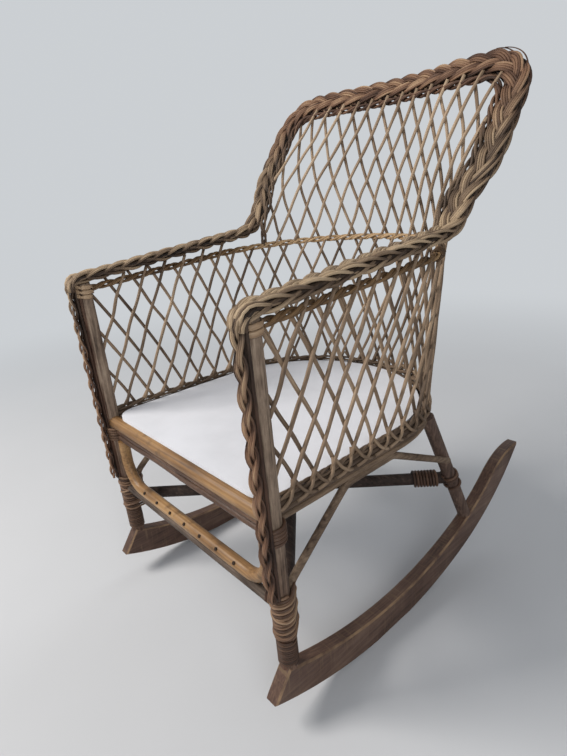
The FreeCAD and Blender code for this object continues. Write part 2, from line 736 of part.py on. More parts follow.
def upper_shell():
    """Surface between the mid wale and the top wale, as a function."""
    turn = math.radians(size("wale_top_turn"))
    border = back_border(size("wale_inset"), square=True)
    half = len(border) // 2
    upright, top_edges = border[half - 4], border[half - 3:half + 3]
    start = mid_wale(turn)
    flare, up_slope = start_of(upright)
    side_edges = biarc(start, (flare - start).normalize(), flare, up_slope) + [upright]

    def side_point(hand, rise):
        point = point_along(side_edges, rise)
        return point if hand > 0 else mirrored(point)

    def surface(place, rise):
        across = place / (turn * size("wale_half_width"))
        left, right = (1 + across) / 2, (1 - across) / 2
        low, high = mid_wale(turn * across), point_along(top_edges, right)
        corners_low = mid_wale(turn) * left + mid_wale(-turn) * right
        corners_high = point_along(top_edges, 0) * left + point_along(top_edges, 1) * right
        return (low * (1 - rise) + high * rise + side_point(1, rise) * left + side_point(-1, rise) * right
                - corners_low * (1 - rise) - corners_high * rise)

    return surface


def lattice_rod(surface, middle, lean, layer, start, end, straight=False, past_end=0):
    """One rod: it leans by lean over the full rise and lies on one side of the surface."""
    def place(rise):
        return middle + lean * (rise - 0.5)

    def point(rise):
        here = surface(place(rise), rise)
        round_way = surface(place(rise) + 1, rise) - surface(place(rise) - 1, rise)
        up_way = surface(place(rise), rise + STEP) - surface(place(rise), rise - STEP)
        return here + round_way.cross(up_way).normalize() * layer

    def way(rise):
        return (point(rise + STEP) - point(rise - STEP)).normalize()

    if straight:
        return round_tube([run(point(start), point(end))], size("lattice_rod"))
    stations = [start + (end - start) * number / ROD_SPANS for number in range(ROD_SPANS + 1)]
    edges = []
    for first, second in zip(stations, stations[1:]):
        edges += biarc(point(first), way(first), point(second), way(second))
    if past_end:
        edges.append(run(point(end), point(end) + way(end) * past_end))
    return round_tube(edges, size("lattice_rod"))


def span(middle, lean, limit, low, high):
    """Part of the rise, between low and high, in which a rod stays inside the limits of its surface."""
    ends = sorted(0.5 + (edge - middle) / lean for edge in (-limit, limit))
    return max(low, ends[0]), min(high, ends[1])


def rod_places(limit, lean):
    """Middles of the rods of one direction, evenly spaced past both limits."""
    count = int((limit + abs(lean) / 2) / size("lattice_spacing")) + 1
    quarter = math.copysign(size("lattice_spacing") / 4, lean)
    return [number * size("lattice_spacing") + quarter for number in range(-count, count + 1)]


def lattice():
    groups = {f"lattice_{area}": [] for area in ("side_left", "side_right", "back_lower", "back_upper")}
    layer = (size("lattice_rod") + size("layer_gap")) / 2
    slant = math.tan(math.radians(size("lattice_slant")))
    height = size("wale_bend_z") - size("top_row_z")
    let_in = size("rod_end_past_axis") / height
    bend = math.pi / 2 * size("seat_half_width")
    limit = bend + side_length()
    ring_rise = (size("ring_z") - size("ring_cane_diameter") - size("top_row_z")) / height
    ring_place = limit - size("ring_cane_diameter") - size("lattice_rod") - size("lattice_let_in")
    for hand in (1, -1):
        lean = hand * slant * height
        for middle in rod_places(limit, lean):
            start, end = span(middle, lean, limit, let_in, 1 - let_in)
            furthest = max(abs(middle + lean * (rise - 0.5)) for rise in (ring_rise, end))
            if end > ring_rise and furthest > ring_place:
                end = ring_rise
            if end - start < SHORTEST_ROD:
                continue
            top = middle + lean * (end - 0.5)
            foot = middle + lean * (start - 0.5)
            on_side = min(abs(top), abs(foot)) > bend
            if on_side and end == 1 - let_in:
                over = lower_shell(top, 1)
                border = size("arm_front_z") + size("arm_slope") * (over.y + size("arm_front_reach"))
                end += (border - size("plait_thickness") / 2 + size("lattice_let_in") - over.z) / height
            rod = lattice_rod(lower_shell, middle, lean, hand * layer, start, end, straight=on_side)
            side = "left" if middle > 0 else "right"
            groups[f"lattice_side_{side}" if abs(middle) > bend else "lattice_back_lower"].append(rod)

    surface = upper_shell()
    limit = math.radians(size("wale_top_turn")) * size("wale_half_width")
    height = (surface(0, 1) - surface(0, 0)).Length
    let_in = size("rod_end_past_axis") / height
    reach = size("wale_inset") - size("plait_width") / 2 + size("lattice_let_in")
    for hand in (1, -1):
        lean = hand * slant * height
        for middle in rod_places(limit, lean):
            start, end = span(middle, lean, limit, let_in, 1 - STEP)
            if end - start < SHORTEST_ROD:
                continue
            past_end = reach if end == 1 - STEP else 0
            groups["lattice_back_upper"].append(
                lattice_rod(surface, middle, lean, hand * layer, start, end, past_end=past_end))
    for name, rods in groups.items():
        piece(name, Part.makeCompound(rods))


# Cane bindings

def least_gap(edges, diameter, apart):
    """Least clear space between stretches of one cane that are further apart along it than apart."""
    points = Part.Wire(edges).discretize(Distance=diameter / 2)
    skip = int(apart / (diameter / 2)) + 1
    near = min(points[first].distanceToPoint(points[second])
               for first in range(len(points)) for second in range(first + skip, len(points)))
    return near - diameter


def laced(name, centre, radius, diameter, passes, start, end):
    """Cane laid to and fro round the outside of a post, rising one step at each turn back."""
    step = diameter + size("cane_gap")

    def spot(turn, level):
        return centre + Vector(math.cos(turn), math.sin(turn), 0) * radius + UP * (level * step)

    edges = []
    for level in range(passes):
        first, last = (start, end) if level % 2 == 0 else (end, start)
        half = (first + last) / 2
        for a, b in ((first, half), (half, last)):
            edges.append(Part.Arc(spot(a, level), spot((a + b) / 2, level), spot(b, level)).toShape())
        if level + 1 < passes:
            onward = edges[-1].tangentAt(edges[-1].LastParameter)
            turn_back = spot(last, level + 0.5) + onward * (step / 2)
            edges.append(Part.Arc(spot(last, level), turn_back, spot(last, level + 1)).toShape())
    print(name, "least gap", round(least_gap(edges, diameter, math.pi * step), 2))
    return round_tube(edges, diameter)


def coil(name, start, way, radius, diameter, turns):
    """Cane wound round a pole, in quarter turns of two arcs each."""
    step = diameter + size("cane_gap")
    side = way.cross(Vector(0, 1, 0)).normalize()
    other = way.cross(side)

    def spot(quarter):
        turn = quarter * math.pi / 2
        return start + (side * math.cos(turn) + other * math.sin(turn)) * radius + way * (quarter * step / 4)

    def heading(quarter):
        turn = quarter * math.pi / 2
        onward = (other * math.cos(turn) - side * math.sin(turn)) * (radius * math.pi / 2) + way * (step / 4)
        return onward.normalize()

    edges = []
    for quarter in range(4 * turns):
        edges += biarc(spot(quarter), heading(quarter), spot(quarter + 1), heading(quarter + 1))
    print(name, "least gap", round(least_gap(edges, diameter, math.pi * radius), 2))
    return round_tube(edges, diameter)


def bindings():
    cane = size("cane_diameter")
    ring = size("ring_cane_diameter")
    fine = size("fine_cane_diameter")
    fit = size("binding_fit")
    pole_radius = size("pole_radius")
    wrap_start, wrap_end = math.radians(size("post_wrap_start")), math.radians(size("post_wrap_end"))

    low, high = post_axis(size("foot_binding_z")), post_axis(size("post_plait_foot"))
    post = (low + high) * 0.5
    arch = Vector(size("arch_x"), -size("arch_foot_reach"), post.z)
    both = (arch - high).Length - (high.z - post.z) ** 2 / (2 * (arch - high).Length)
    slack = fit + (low - high).y / 2
    inner = (both + pole_radius + size("arch_diameter") / 2) / 2 + slack
    centre = post + (arch - post).normalize() * (inner - pole_radius - slack)
    centre.z = low.z
    foot_start, foot_end = math.radians(size("foot_binding_start")), math.radians(size("foot_binding_end"))
    foot_passes = int(size("foot_binding_passes"))
    pair("binding_foot", laced("binding_foot", centre, inner + cane / 2,
                               cane, foot_passes, foot_start, foot_end))

    corner = post_axis(size("corner_binding_z"))
    corner_passes = int(size("corner_binding_passes"))
    pair("binding_corner", laced("binding_corner", corner, pole_radius + fit + cane / 2,
                                 cane, corner_passes, wrap_start, wrap_end))
    head = post_axis(size("ring_z"))
    head_passes = int(size("ring_passes"))
    pair("binding_head", laced("binding_head", head, pole_radius + fit + ring / 2,
                               ring, head_passes, wrap_start, wrap_end))

    gap = size("cane_gap")
    low_drop = size("cross_diameter") + size("row_gap")
    low_cross_under = size("cross_front_z") - low_drop - size("cross_diameter") / 2
    foot, fine_top = post_axis(size("post_foot_z")), post_axis(low_cross_under - gap - fit - fine / 2)
    post_way = (fine_top - foot).normalize()
    turns = int(size("fine_wrap_turns"))
    fine_start = fine_top - post_way * (turns * (fine + gap))
    fine_radius = pole_radius + fit + fine / 2
    pair("binding_fine", coil("binding_fine", fine_start, post_way, fine_radius, fine, turns))

    for side, sign in SIDES.items():
        drop = 0 if sign > 0 else low_drop
        rear = leg_axis(size("cross_rear_z") - drop)
        front = mirrored(post_axis(size("cross_front_z") - drop))
        if sign < 0:
            rear, front = mirrored(rear), mirrored(front)
        way = (front - rear).normalize()
        start = rear + way * (2 * pole_radius)
        radius = size("cross_diameter") / 2 + fit + cane / 2
        name = f"binding_cross_{side}"
        piece(name, coil(name, start, way, radius, cane, int(size("cross_binding_turns"))))


# Frame

for side, sign in SIDES.items():
    rocker(side, sign)
    pole(f"front_post_{side}", "pole_diameter",
         post_at(sign, "Sizes.post_foot_z"), post_at(sign, "Sizes.post_top"))
    pole(f"rear_leg_{side}", "pole_diameter",
         leg_at(sign, "Sizes.leg_head_z"), leg_at(sign, "Sizes.leg_foot_z"))
    side_arch(side, sign)
    drop = "" if sign > 0 else " - Sizes.cross_diameter - Sizes.row_gap"
    pole(f"cross_stretcher_{side}", "cross_diameter",
         leg_at(sign, f"(Sizes.cross_rear_z{drop})"), post_at(-sign, f"(Sizes.cross_front_z{drop})"))
front_pole("seat_front_rail", "pole_diameter", "Sizes.front_rail_z")
for number in (1, 2):
    rail_foot = "Sizes.front_rail_z - Sizes.pole_radius"
    reed_z = f"({rail_foot} + Sizes.reed_diameter / 2 - {number} * Sizes.reed_step)"
    front_pole(f"front_reed_{number}", "reed_diameter", reed_z)
front_pole("front_stretcher", "stretcher_diameter", "Sizes.stretcher_z")
for number in (1, 2, 3):
    hoop_row(f"seat_hoop_{number}", "seat_half_width", f"hoop_{number}_z", "hoop_rod", "hoop_end_reach")
hoop_row("seat_hoop_top", "seat_half_width", "top_row_z", "top_row_rod", "hoop_end_reach")
hoop_row("seat_ledge", "ledge_half_width", "ledge_z", "ledge_rod", "ledge_end_reach")
seat_panel()
front_bow()
rear_bow()
bow_nails()
plaits()
wales()
lattice()
bindings()
doc.recompute()

for thing in doc.Objects:
    if "Invalid" in thing.State or "Error" in thing.State:
        raise RuntimeError(f"{thing.Name} did not compute: {thing.State}")
for node in nodes:
    if node.Shape.isNull() or not node.Shape.isValid():
        raise RuntimeError(f"{node.Name} has no valid shape")

os.makedirs("parts", exist_ok=True)
for node in nodes:
    node.Shape.exportStep(f"parts/{node.Name}.step")
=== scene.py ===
import bisect
import math
import random

import bpy
from mathutils import Matrix, Vector


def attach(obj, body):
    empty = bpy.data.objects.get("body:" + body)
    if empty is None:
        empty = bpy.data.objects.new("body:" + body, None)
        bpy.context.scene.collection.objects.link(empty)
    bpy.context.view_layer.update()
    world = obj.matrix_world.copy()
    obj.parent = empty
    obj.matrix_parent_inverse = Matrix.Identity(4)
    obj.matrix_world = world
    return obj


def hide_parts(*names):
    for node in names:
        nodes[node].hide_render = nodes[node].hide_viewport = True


# Looks of the wicker rocking chair.
# Sizes are in millimetres, as in the part; MM turns a point to metres when a mesh is made.

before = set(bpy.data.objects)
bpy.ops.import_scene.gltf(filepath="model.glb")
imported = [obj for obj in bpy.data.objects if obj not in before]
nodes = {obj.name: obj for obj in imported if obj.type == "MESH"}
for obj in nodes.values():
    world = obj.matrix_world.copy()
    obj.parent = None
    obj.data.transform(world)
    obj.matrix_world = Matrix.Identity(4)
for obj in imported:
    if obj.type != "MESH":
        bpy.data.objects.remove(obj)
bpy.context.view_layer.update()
bpy.ops.object.select_all(action="DESELECT")

MM = 0.001
BODY = "chair"
UP = Vector((0, 0, 1))
TO_LEFT = Vector((1, 0, 0))
TO_RIGHT = Vector((-1, 0, 0))
TO_BACK = Vector((0, 1, 0))

# Posts, legs and seat
HALF_SPACING = 253
POLE_RADIUS = 13
POST_FOOT_REACH = 247
POST_FOOT_Z = 86.6
POST_LEAN = 11
POST_TOP = 654
LEG_HEAD = Vector((224, 160, 366))
LEG_FOOT = Vector((253, 271, 97.4))
SEAT_HALF_WIDTH = 250
SEAT_BEND_Y = 42
RAIL_REACH = 252.5
HOOP_END_REACH = 246
HOOP_HEIGHTS = (361, 371.4, 381.8)
HOOP_ROD = 10
HOOP_TONES = (0.52, 0.34, 0.28)
HOOP_SWAY = 0.9
HOOP_KNOTS = 130
TOP_ROW_Z = 393.2
TOP_ROW_ROD = 12
TOP_ROW_PITCH = 96
TOP_ROW_TONES = (0.28, 0.48)
REED_HEIGHTS = (349.3, 336.3)
REED_ROD = 12.6
REED_HALF_LENGTH = 246.5
REED_SHARE = 0.94
REED_SWAY = 1.0
REED_KNOTS = 140
REED_TONE = 0.38
REED_SIDES = 16

# Plaited border and back
POST_PLAIT_WIDTH = 22
POST_PLAIT_THICKNESS = 14
POST_PLAIT_SHIFT = 5
POST_PLAIT_REACH = 20.4
POST_PLAIT_FOOT_Z = 242.6
PLAIT_WIDTH = 44
PLAIT_THICKNESS = 24
ARM_X = 260
ARM_FRONT_REACH = 281.4
ARM_FRONT_Z = 661
ARM_REAR_Y = 159
ARM_REAR_Z = 708
ARM_NOSE_RADIUS = 20
ARM_BEND_RADIUS = 70
BACK_RECLINE = math.radians(35.5)
BACK_HALF_WIDTH = 282
BACK_HEIGHT = 320
BACK_RISE = 38
BACK_FLARE = 142
BACK_CORNER = 72
BACK_BOW = 24

# Wales and lattice
WALE_ROD = 14
WALE_HALF_WIDTH = 260
WALE_BEND_Y = 65
WALE_FRONT_Z = 642
WALE_BEND_Z = 667
WALE_REAR_Z = 679
WALE_INSET = 30
WALE_TOP_TURN = math.radians(65)
LATTICE_ROD = 6.4
LATTICE_SPACING = 43
LATTICE_SLANT = math.tan(math.radians(25))
LATTICE_LET_IN = 4
LAYER_GAP = 1
SHORTEST_ROD = 0.25
ROD_END = 2
ROD_STRAY = 3
LATTICE_SWAY = 2.3
LATTICE_KNOTS = 110
LATTICE_STEP = 14
LATTICE_STATIONS = 14

# Cane bindings
CANE = 5.4
CANE_STEP = 6.2
ARCH_X = 246
ARCH_FOOT_REACH = 230
ARCH_RADIUS = 6.5
FOOT_BINDING_Z = 162
FOOT_BINDING_TURNS = 15
FOOT_BINDING_STEP = 5.4
FOOT_CANE = 4.4
CORNER_BINDING_Z = 332
CORNER_BINDING_TURNS = 5
RING_Z = 629
RING_STEP = 8.8
RING_CANE = 8
RING_TURNS = 2.5
FINE_CANE = 3.4
FINE_STEP = 4.2
FINE_TURNS = 11
FINE_TOP_Z = 152.9
CROSS_RADIUS = 12
CROSS_REAR_Z = 212
CROSS_FRONT_Z = 192.2
CROSS_DROP = 24.4
CROSS_TURNS = 8


# Paths

POINT_SPACING = 3
NEARLY_STRAIGHT = 1e-4


def run(start, end):
    count = max(1, round((end - start).length / POINT_SPACING))
    return [start.lerp(end, number / count) for number in range(count + 1)]


def arc(start, way, end):
    """Points of the arc that leaves start along way and reaches end."""
    chord = end - start
    inward = chord - way * chord.dot(way)
    if inward.length < NEARLY_STRAIGHT:
        return run(start, end)
    inward.normalize()
    turn = 2 * way.angle(chord)
    radius = chord.length / (2 * math.sin(turn / 2))
    middle = start + inward * radius
    count = max(2, round(radius * turn / POINT_SPACING))
    angles = [turn * number / count for number in range(count + 1)]
    return [middle + (way * math.sin(angle) - inward * math.cos(angle)) * radius for angle in angles]


def biarc(start, way_out, end, way_in):
    """Points of two arcs that leave start along way_out and reach end along way_in."""
    gap = end - start
    along = gap.dot(way_out + way_in)
    bend = 2 * (1 - way_out.dot(way_in))
    if bend < NEARLY_STRAIGHT:
        reach = gap.dot(gap) / (2 * along)
    else:
        reach = (math.sqrt(along ** 2 + bend * gap.dot(gap)) - along) / bend
    joint = (start + way_out * reach + end - way_in * reach) * 0.5
    chord = (end - joint).normalized()
    way_on = chord * (2 * way_in.dot(chord)) - way_in
    return arc(start, way_out, joint) + arc(joint, way_on, end)


def rounded_runs(corners, radii):
    """Straight runs through the corners, each inner corner rounded with its radius."""
    points = []
    start = corners[0]
    for before, corner, after, radius in zip(corners, corners[1:], corners[2:], radii):
        way_in = (corner - before).normalized()
        way_out = (after - corner).normalized()
        cut = radius * math.tan(way_in.angle(way_out) / 2)
        points += run(start, corner - way_in * cut)
        start = corner + way_out * cut
        points += arc(corner - way_in * cut, way_in, start)
    return points + run(start, corners[-1])


# Shares of the nearest points and of the next ones in a point put between on a soft curve
NEAR_SHARE = 9 / 16
FAR_SHARE = 1 / 16


def smoothed(points):
    """Points with one more between each two, on a soft curve."""
    line = []
    last = len(points) - 1
    for index in range(last):
        before, after = points[max(index - 1, 0)], points[min(index + 2, last)]
        near, far = points[index], points[index + 1]
        line += [near, (near + far) * NEAR_SHARE - (before + after) * FAR_SHARE]
    return line + [points[-1]]


def mirrored(points):
    return [Vector((-point.x, point.y, point.z)) for point in points]


class Path:
    """Line of points; the way across it is carried along from its start."""

    def __init__(self, points, across):
        self.points = [points[0]]
        for point in points[1:]:
            if (point - self.points[-1]).length > POINT_SPACING / 4:
                self.points.append(point)
        self.lengths = [0.0]
        for first, second in zip(self.points, self.points[1:]):
            self.lengths.append(self.lengths[-1] + (second - first).length)
        self.length = self.lengths[-1]
        last = len(self.points) - 1
        self.alongs = []
        self.acrosses = []
        for index in range(last + 1):
            along = (self.points[min(index + 1, last)] - self.points[max(index - 1, 0)]).normalized()
            across = (across - along * across.dot(along)).normalized()
            self.alongs.append(along)
            self.acrosses.append(across)

    def at(self, length):
        """Point, way along, way across and way out at a length."""
        index = min(max(bisect.bisect_right(self.lengths, length) - 1, 0), len(self.points) - 2)
        share = (length - self.lengths[index]) / (self.lengths[index + 1] - self.lengths[index])
        point = self.points[index].lerp(self.points[index + 1], share)
        along = self.alongs[index].lerp(self.alongs[index + 1], share).normalized()
        across = self.acrosses[index].lerp(self.acrosses[index + 1], share).normalized()
        return point, along, across, across.cross(along)

    def marks(self, spacing, start=0.0, end=None):
        """Lengths along the path, evenly spaced."""
        end = self.length if end is None else end
        count = max(2, round((end - start) / spacing))
        return [start + (end - start) * number / count for number in range(count + 1)]


def post_axis(height):
    slope = POST_LEAN / (POST_TOP - POST_FOOT_Z)
    return Vector((HALF_SPACING, -POST_FOOT_REACH - slope * (height - POST_FOOT_Z), height))


def leg_axis(height):
    return LEG_HEAD.lerp(LEG_FOOT, (LEG_HEAD.z - height) / (LEG_HEAD.z - LEG_FOOT.z))


def hoop_points(half_width, height, end_reach):
    """Line of a row round the seat, from the left post to the right post."""
    left_front = Vector((half_width, -end_reach, height))
    left_bend = Vector((half_width, SEAT_BEND_Y, height))
    right_bend = Vector((-half_width, SEAT_BEND_Y, height))
    right_front = Vector((-half_width, -end_reach, height))
    return run(left_front, left_bend) + arc(left_bend, TO_BACK, right_bend) + run(right_bend, right_front)


def back_point(across, rise, behind=0.0):
    """Point of the reclined plane of the back: across in X, rise up the slope."""
    return Vector((across, ARM_REAR_Y + rise * math.sin(BACK_RECLINE) + behind,
                   ARM_REAR_Z + rise * math.cos(BACK_RECLINE)))


UP_SLOPE = (back_point(0, 1) - back_point(0, 0)).normalized()


def back_half(inset, square=False):
    """Left half of the back's border, from the arm to the middle of the top."""
    wide = BACK_HALF_WIDTH - inset
    top = BACK_HEIGHT - inset
    corner = BACK_CORNER - inset
    foot = back_point(ARM_X - inset, BACK_RISE)
    flare = back_point(wide, BACK_FLARE)
    shoulder = back_point(wide, top if square else top - corner)
    crest = back_point(wide - corner, top)
    middle = back_point(0, top, BACK_BOW)
    upright = biarc(foot, UP_SLOPE, flare, UP_SLOPE) + run(flare, shoulder)
    turn = run(shoulder, crest) if square else arc(shoulder, UP_SLOPE, crest)
    return upright, turn + biarc(crest, TO_RIGHT, middle, TO_RIGHT)


def both_halves(points):
    return points + mirrored(reversed(points))


# Strands: every woven piece is laid from round or flat strands

STRAND_SIDES = 8
THIN_SIDES = 6
ANY_WAY = Vector((0.31, 0.52, 0.79))
LONGEST_MAP = 50


class Weave:
    """Strands gathered into one piece; each has its own tone and a map that runs along its grain."""

    def __init__(self, name, seed):
        self.name = name
        self.chance = random.Random(seed)
        self.points = []
        self.faces = []
        self.tones = []
        self.grain = []

    def lay(self, line, widths, tones, flat=1.0, flat_ways=None, sides=STRAND_SIDES):
        """Adds one strand along a line of points; flat is its thickness as a share of its width."""
        first = len(self.points)
        last = len(line) - 1
        wide = ANY_WAY
        along_map = self.chance.uniform(0, LONGEST_MAP)
        distances = []
        for index, point in enumerate(line):
            along = (line[min(index + 1, last)] - line[max(index - 1, 0)]).normalized()
            wide = flat_ways[index] if flat_ways else wide
            wide = (wide - along * wide.dot(along)).normalized()
            deep = along.cross(wide)
            half = widths[index] / 2
            for side in range(sides):
                turn = 2 * math.pi * side / sides
                rim = wide * (half * math.cos(turn)) + deep * (half * flat * math.sin(turn))
                self.points.append((point + rim) * MM)
                self.tones.append(tones[index])
            if index:
                along_map += (point - line[index - 1]).length * MM
            distances.append(along_map)
        for index in range(last):
            ring = first + index * sides
            for side in range(sides):
                after = (side + 1) % sides
                self.faces.append((ring + side, ring + after, ring + sides + after, ring + sides + side))
                low, high = side / sides, (side + 1) / sides
                here, onward = distances[index], distances[index + 1]
                self.grain += [(here, low), (here, high), (onward, high), (onward, low)]
        end = first + last * sides
        self.faces.append(tuple(first + side for side in reversed(range(sides))))
        self.faces.append(tuple(end + side for side in range(sides)))
        self.grain += [(distances[0], 0.5)] * sides + [(distances[-1], 0.5)] * sides

    def make(self, finish, slot, *replaced):
        """Makes the piece, which rides on the chair and stands for the replaced nodes; slot is not used."""
        mesh = bpy.data.meshes.new(self.name)
        mesh.from_pydata(self.points, [], self.faces)
        mesh.polygons.foreach_set("use_smooth", [True] * len(mesh.polygons))
        mesh.attributes.new("tone", "FLOAT", "POINT").data.foreach_set("value", self.tones)
        grain = mesh.uv_layers.new(name="grain")
        grain.data.foreach_set("uv", [number for pair in self.grain for number in pair])
        mesh.materials.append(finish)
        piece = bpy.data.objects.new(self.name, mesh)
        bpy.context.scene.collection.objects.link(piece)
        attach(piece, BODY)
        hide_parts(*replaced)


SWAY_LENGTHS = (70, 320)
SWAY_DEPTHS = (0.4, 1)
SWAYS_EACH_WAY = 3
SWAY_EASE = 30
KNOT_SWELL = 0.1
ROD_WAIST = 0.97
ROD_UNEVEN = 0.04


def swaying(weave, path, diameter, sway, knots, spacing=8, lifts=True):
    """Line and widths of a grown rod: it sways, sideways and where it lifts, and swells at its knots."""
    chance = weave.chance
    waves = []
    for _ in range(2 * SWAYS_EACH_WAY):
        waves.append((chance.uniform(*SWAY_LENGTHS), chance.uniform(0, 2 * math.pi),
                      chance.uniform(*SWAY_DEPTHS)))
    offset = chance.uniform(0, knots)
    line, widths = [], []
    for length in path.marks(spacing):
        point, _, across, out = path.at(length)
        pull = [depth * math.sin(2 * math.pi * length / wave + start) for wave, start, depth in waves]
        side = sum(pull[:SWAYS_EACH_WAY]) / 2
        lift = sum(pull[SWAYS_EACH_WAY:]) / 2 if lifts else 0
        ease = min(1, length / SWAY_EASE, (path.length - length) / SWAY_EASE)
        line.append(point + (across * side + out * lift) * sway * ease)
        knot = abs((length + offset) % knots - knots / 2) / spacing
        swell = KNOT_SWELL * max(0, 1 - knot)
        widths.append(diameter * (ROD_WAIST + swell + ROD_UNEVEN * pull[1]))
    return line, widths


def even(value, line):
    """The same width or tone all along a line."""
    return [value] * len(line)


def mottled(middle, swing, length, line):
    """Tones that swing lighter and darker along a line; length is in points of the line."""
    return [middle + swing * math.sin(index / length) for index in range(len(line))]


# Finishes

def new_finish(name, roughness, specular):
    material = bpy.data.materials.new(name)
    material.use_nodes = True
    shader = material.node_tree.nodes["Principled BSDF"]
    shader.inputs["Roughness"].default_value = roughness
    shader.inputs["Specular IOR Level"].default_value = specular
    return material, material.node_tree, shader


def add_node(tree, kind, values=None, **settings):
    """New node with some settings, and numbers or links for its inputs."""
    node = tree.nodes.new(kind)
    for setting, value in settings.items():
        setattr(node, setting, value)
    for place, value in (values or {}).items():
        if isinstance(value, bpy.types.NodeSocket):
            tree.links.new(value, node.inputs[place])
        else:
            node.inputs[place].default_value = value
    return node


def combined(tree, first, second, operation="ADD"):
    return add_node(tree, "ShaderNodeMath", {0: first, 1: second}, operation=operation).outputs[0]


def stretched(tree, source, scale, turn=(0, 0, 0)):
    values = {"Vector": source, "Scale": scale, "Rotation": turn}
    return add_node(tree, "ShaderNodeMapping", values).outputs["Vector"]


def noise(tree, vector, scale=1.0, detail=4.0, rough=0.55):
    values = {"Vector": vector, "Scale": scale, "Detail": detail, "Roughness": rough}
    return add_node(tree, "ShaderNodeTexNoise", values).outputs["Fac"]


def from_to(tree, value, low, high, new_low, new_high):
    values = {"Value": value, "From Min": low, "From Max": high, "To Min": new_low, "To Max": new_high}
    return add_node(tree, "ShaderNodeMapRange", values).outputs["Result"]


NOISE_BAND = (0.3, 0.7)


def spread(tree, value, new_low, new_high):
    """Takes the band that most of a noise lies in to a new range."""
    return from_to(tree, value, *NOISE_BAND, new_low, new_high)


def colours(tree, value, stops):
    ramp = add_node(tree, "ShaderNodeValToRGB", {"Fac": value})
    band = ramp.color_ramp
    while len(band.elements) < len(stops):
        band.elements.new(0.5)
    for element, (place, colour) in zip(band.elements, stops):
        element.position = place
        element.color = (*colour, 1)
    return ramp.outputs["Color"]


def blended(tree, share, first, second):
    mix = add_node(tree, "ShaderNodeMix", data_type="RGBA")
    for place, value in ((0, share), (6, first), (7, second)):
        if isinstance(value, bpy.types.NodeSocket):
            tree.links.new(value, mix.inputs[place])
        else:
            mix.inputs[place].default_value = (*value, 1)
    return mix.outputs[2]


def raised(tree, shader, height, distance, strength=0.6):
    values = {"Height": height, "Distance": distance, "Strength": strength}
    bump = add_node(tree, "ShaderNodeBump", values)
    tree.links.new(bump.outputs["Normal"], shader.inputs["Normal"])


def paint(tree, shader, colour, roughness=None):
    tree.links.new(colour, shader.inputs["Base Color"])
    if roughness is not None:
        tree.links.new(roughness, shader.inputs["Roughness"])


def part_of(tree, vector, axis):
    return add_node(tree, "ShaderNodeSeparateXYZ", {"Vector": vector}).outputs[axis]


def object_place(tree):
    return add_node(tree, "ShaderNodeTexCoord").outputs["Object"]


def facing(tree):
    return add_node(tree, "ShaderNodeTexCoord").outputs["Normal"]


def size_of(tree, value):
    """A value without its sign."""
    return combined(tree, value, 0.0, "ABSOLUTE")


def varied(tree, shade, *layers):
    """A shade made lighter and darker by noises, each with its own depth."""
    for layer, depth in layers:
        shade = combined(tree, shade, spread(tree, layer, -depth, depth))
    return shade


# Heights in metres between which a colour comes in
CROWN_HEIGHTS = (0.84, 0.93)
POST_HEIGHTS = (0.52, 0.63)
WORN_HEIGHTS = (0.2, 0.36)

# Colours from the darkest to the lightest shade
WILLOW_STOPS = [(0, (0.016, 0.010, 0.007)), (0.35, (0.082, 0.052, 0.034)),
                (0.65, (0.215, 0.146, 0.092)), (1, (0.43, 0.315, 0.20))]
RED_STOPS = [(0, (0.018, 0.009, 0.006)), (0.35, (0.092, 0.046, 0.028)),
             (0.65, (0.225, 0.124, 0.073)), (1, (0.43, 0.285, 0.17))]
ROD_STOPS = [(0, (0.026, 0.016, 0.011)), (0.35, (0.105, 0.069, 0.045)),
             (0.65, (0.240, 0.163, 0.104)), (1, (0.44, 0.318, 0.21))]
CANE_STOPS = [(0, (0.022, 0.011, 0.007)), (0.4, (0.084, 0.044, 0.027)),
              (0.7, (0.195, 0.111, 0.065)), (1, (0.40, 0.275, 0.17))]
TAN_STOPS = [(0, (0.05, 0.028, 0.014)), (0.35, (0.17, 0.098, 0.045)),
             (0.65, (0.33, 0.205, 0.10)), (1, (0.50, 0.34, 0.19))]
BARK_STOPS = [(0, (0.032, 0.015, 0.010)), (0.5, (0.125, 0.064, 0.042)), (1, (0.250, 0.150, 0.102))]
WORN_STOPS = [(0, (0.055, 0.037, 0.026)), (0.5, (0.225, 0.160, 0.114)), (1, (0.42, 0.32, 0.235))]
GREY_STOPS = [(0, (0.032, 0.022, 0.017)), (0.5, (0.088, 0.062, 0.046)), (1, (0.18, 0.132, 0.10))]
ARCH_STOPS = [(0, (0.045, 0.028, 0.019)), (0.5, (0.145, 0.096, 0.063)), (1, (0.28, 0.20, 0.13))]
LEG_STOPS = [(0, (0.032, 0.019, 0.014)), (0.5, (0.102, 0.063, 0.047)), (1, (0.21, 0.138, 0.10))]
# Much darker colours for the cross stretchers: painted shade, as they lie in shadow under the seat.
CROSS_SHADED_STOPS = [(0, (0.010, 0.006, 0.004)), (0.5, (0.032, 0.019, 0.014)), (1, (0.085, 0.054, 0.038))]
STAIN_STOPS = [(0, (0.034, 0.018, 0.013)), (0.5, (0.096, 0.052, 0.036)), (1, (0.175, 0.105, 0.068))]
RATTAN_STOPS = [(0, (0.072, 0.034, 0.013)), (0.5, (0.245, 0.131, 0.051)), (1, (0.44, 0.262, 0.112))]
PANEL_STOPS = [(0.25, (0.65, 0.655, 0.69)), (0.55, (0.74, 0.745, 0.785)), (0.8, (0.775, 0.78, 0.825))]
NAIL_STOPS = [(0.35, (0.012, 0.010, 0.009)), (0.7, (0.055, 0.030, 0.018))]
RATTAN_STAIN = (0.060, 0.034, 0.018)
BARE_WOOD = (0.30, 0.19, 0.105)
SCUFFED_WOOD = (0.20, 0.135, 0.085)
SAWN_WOOD = (0.225, 0.150, 0.080)

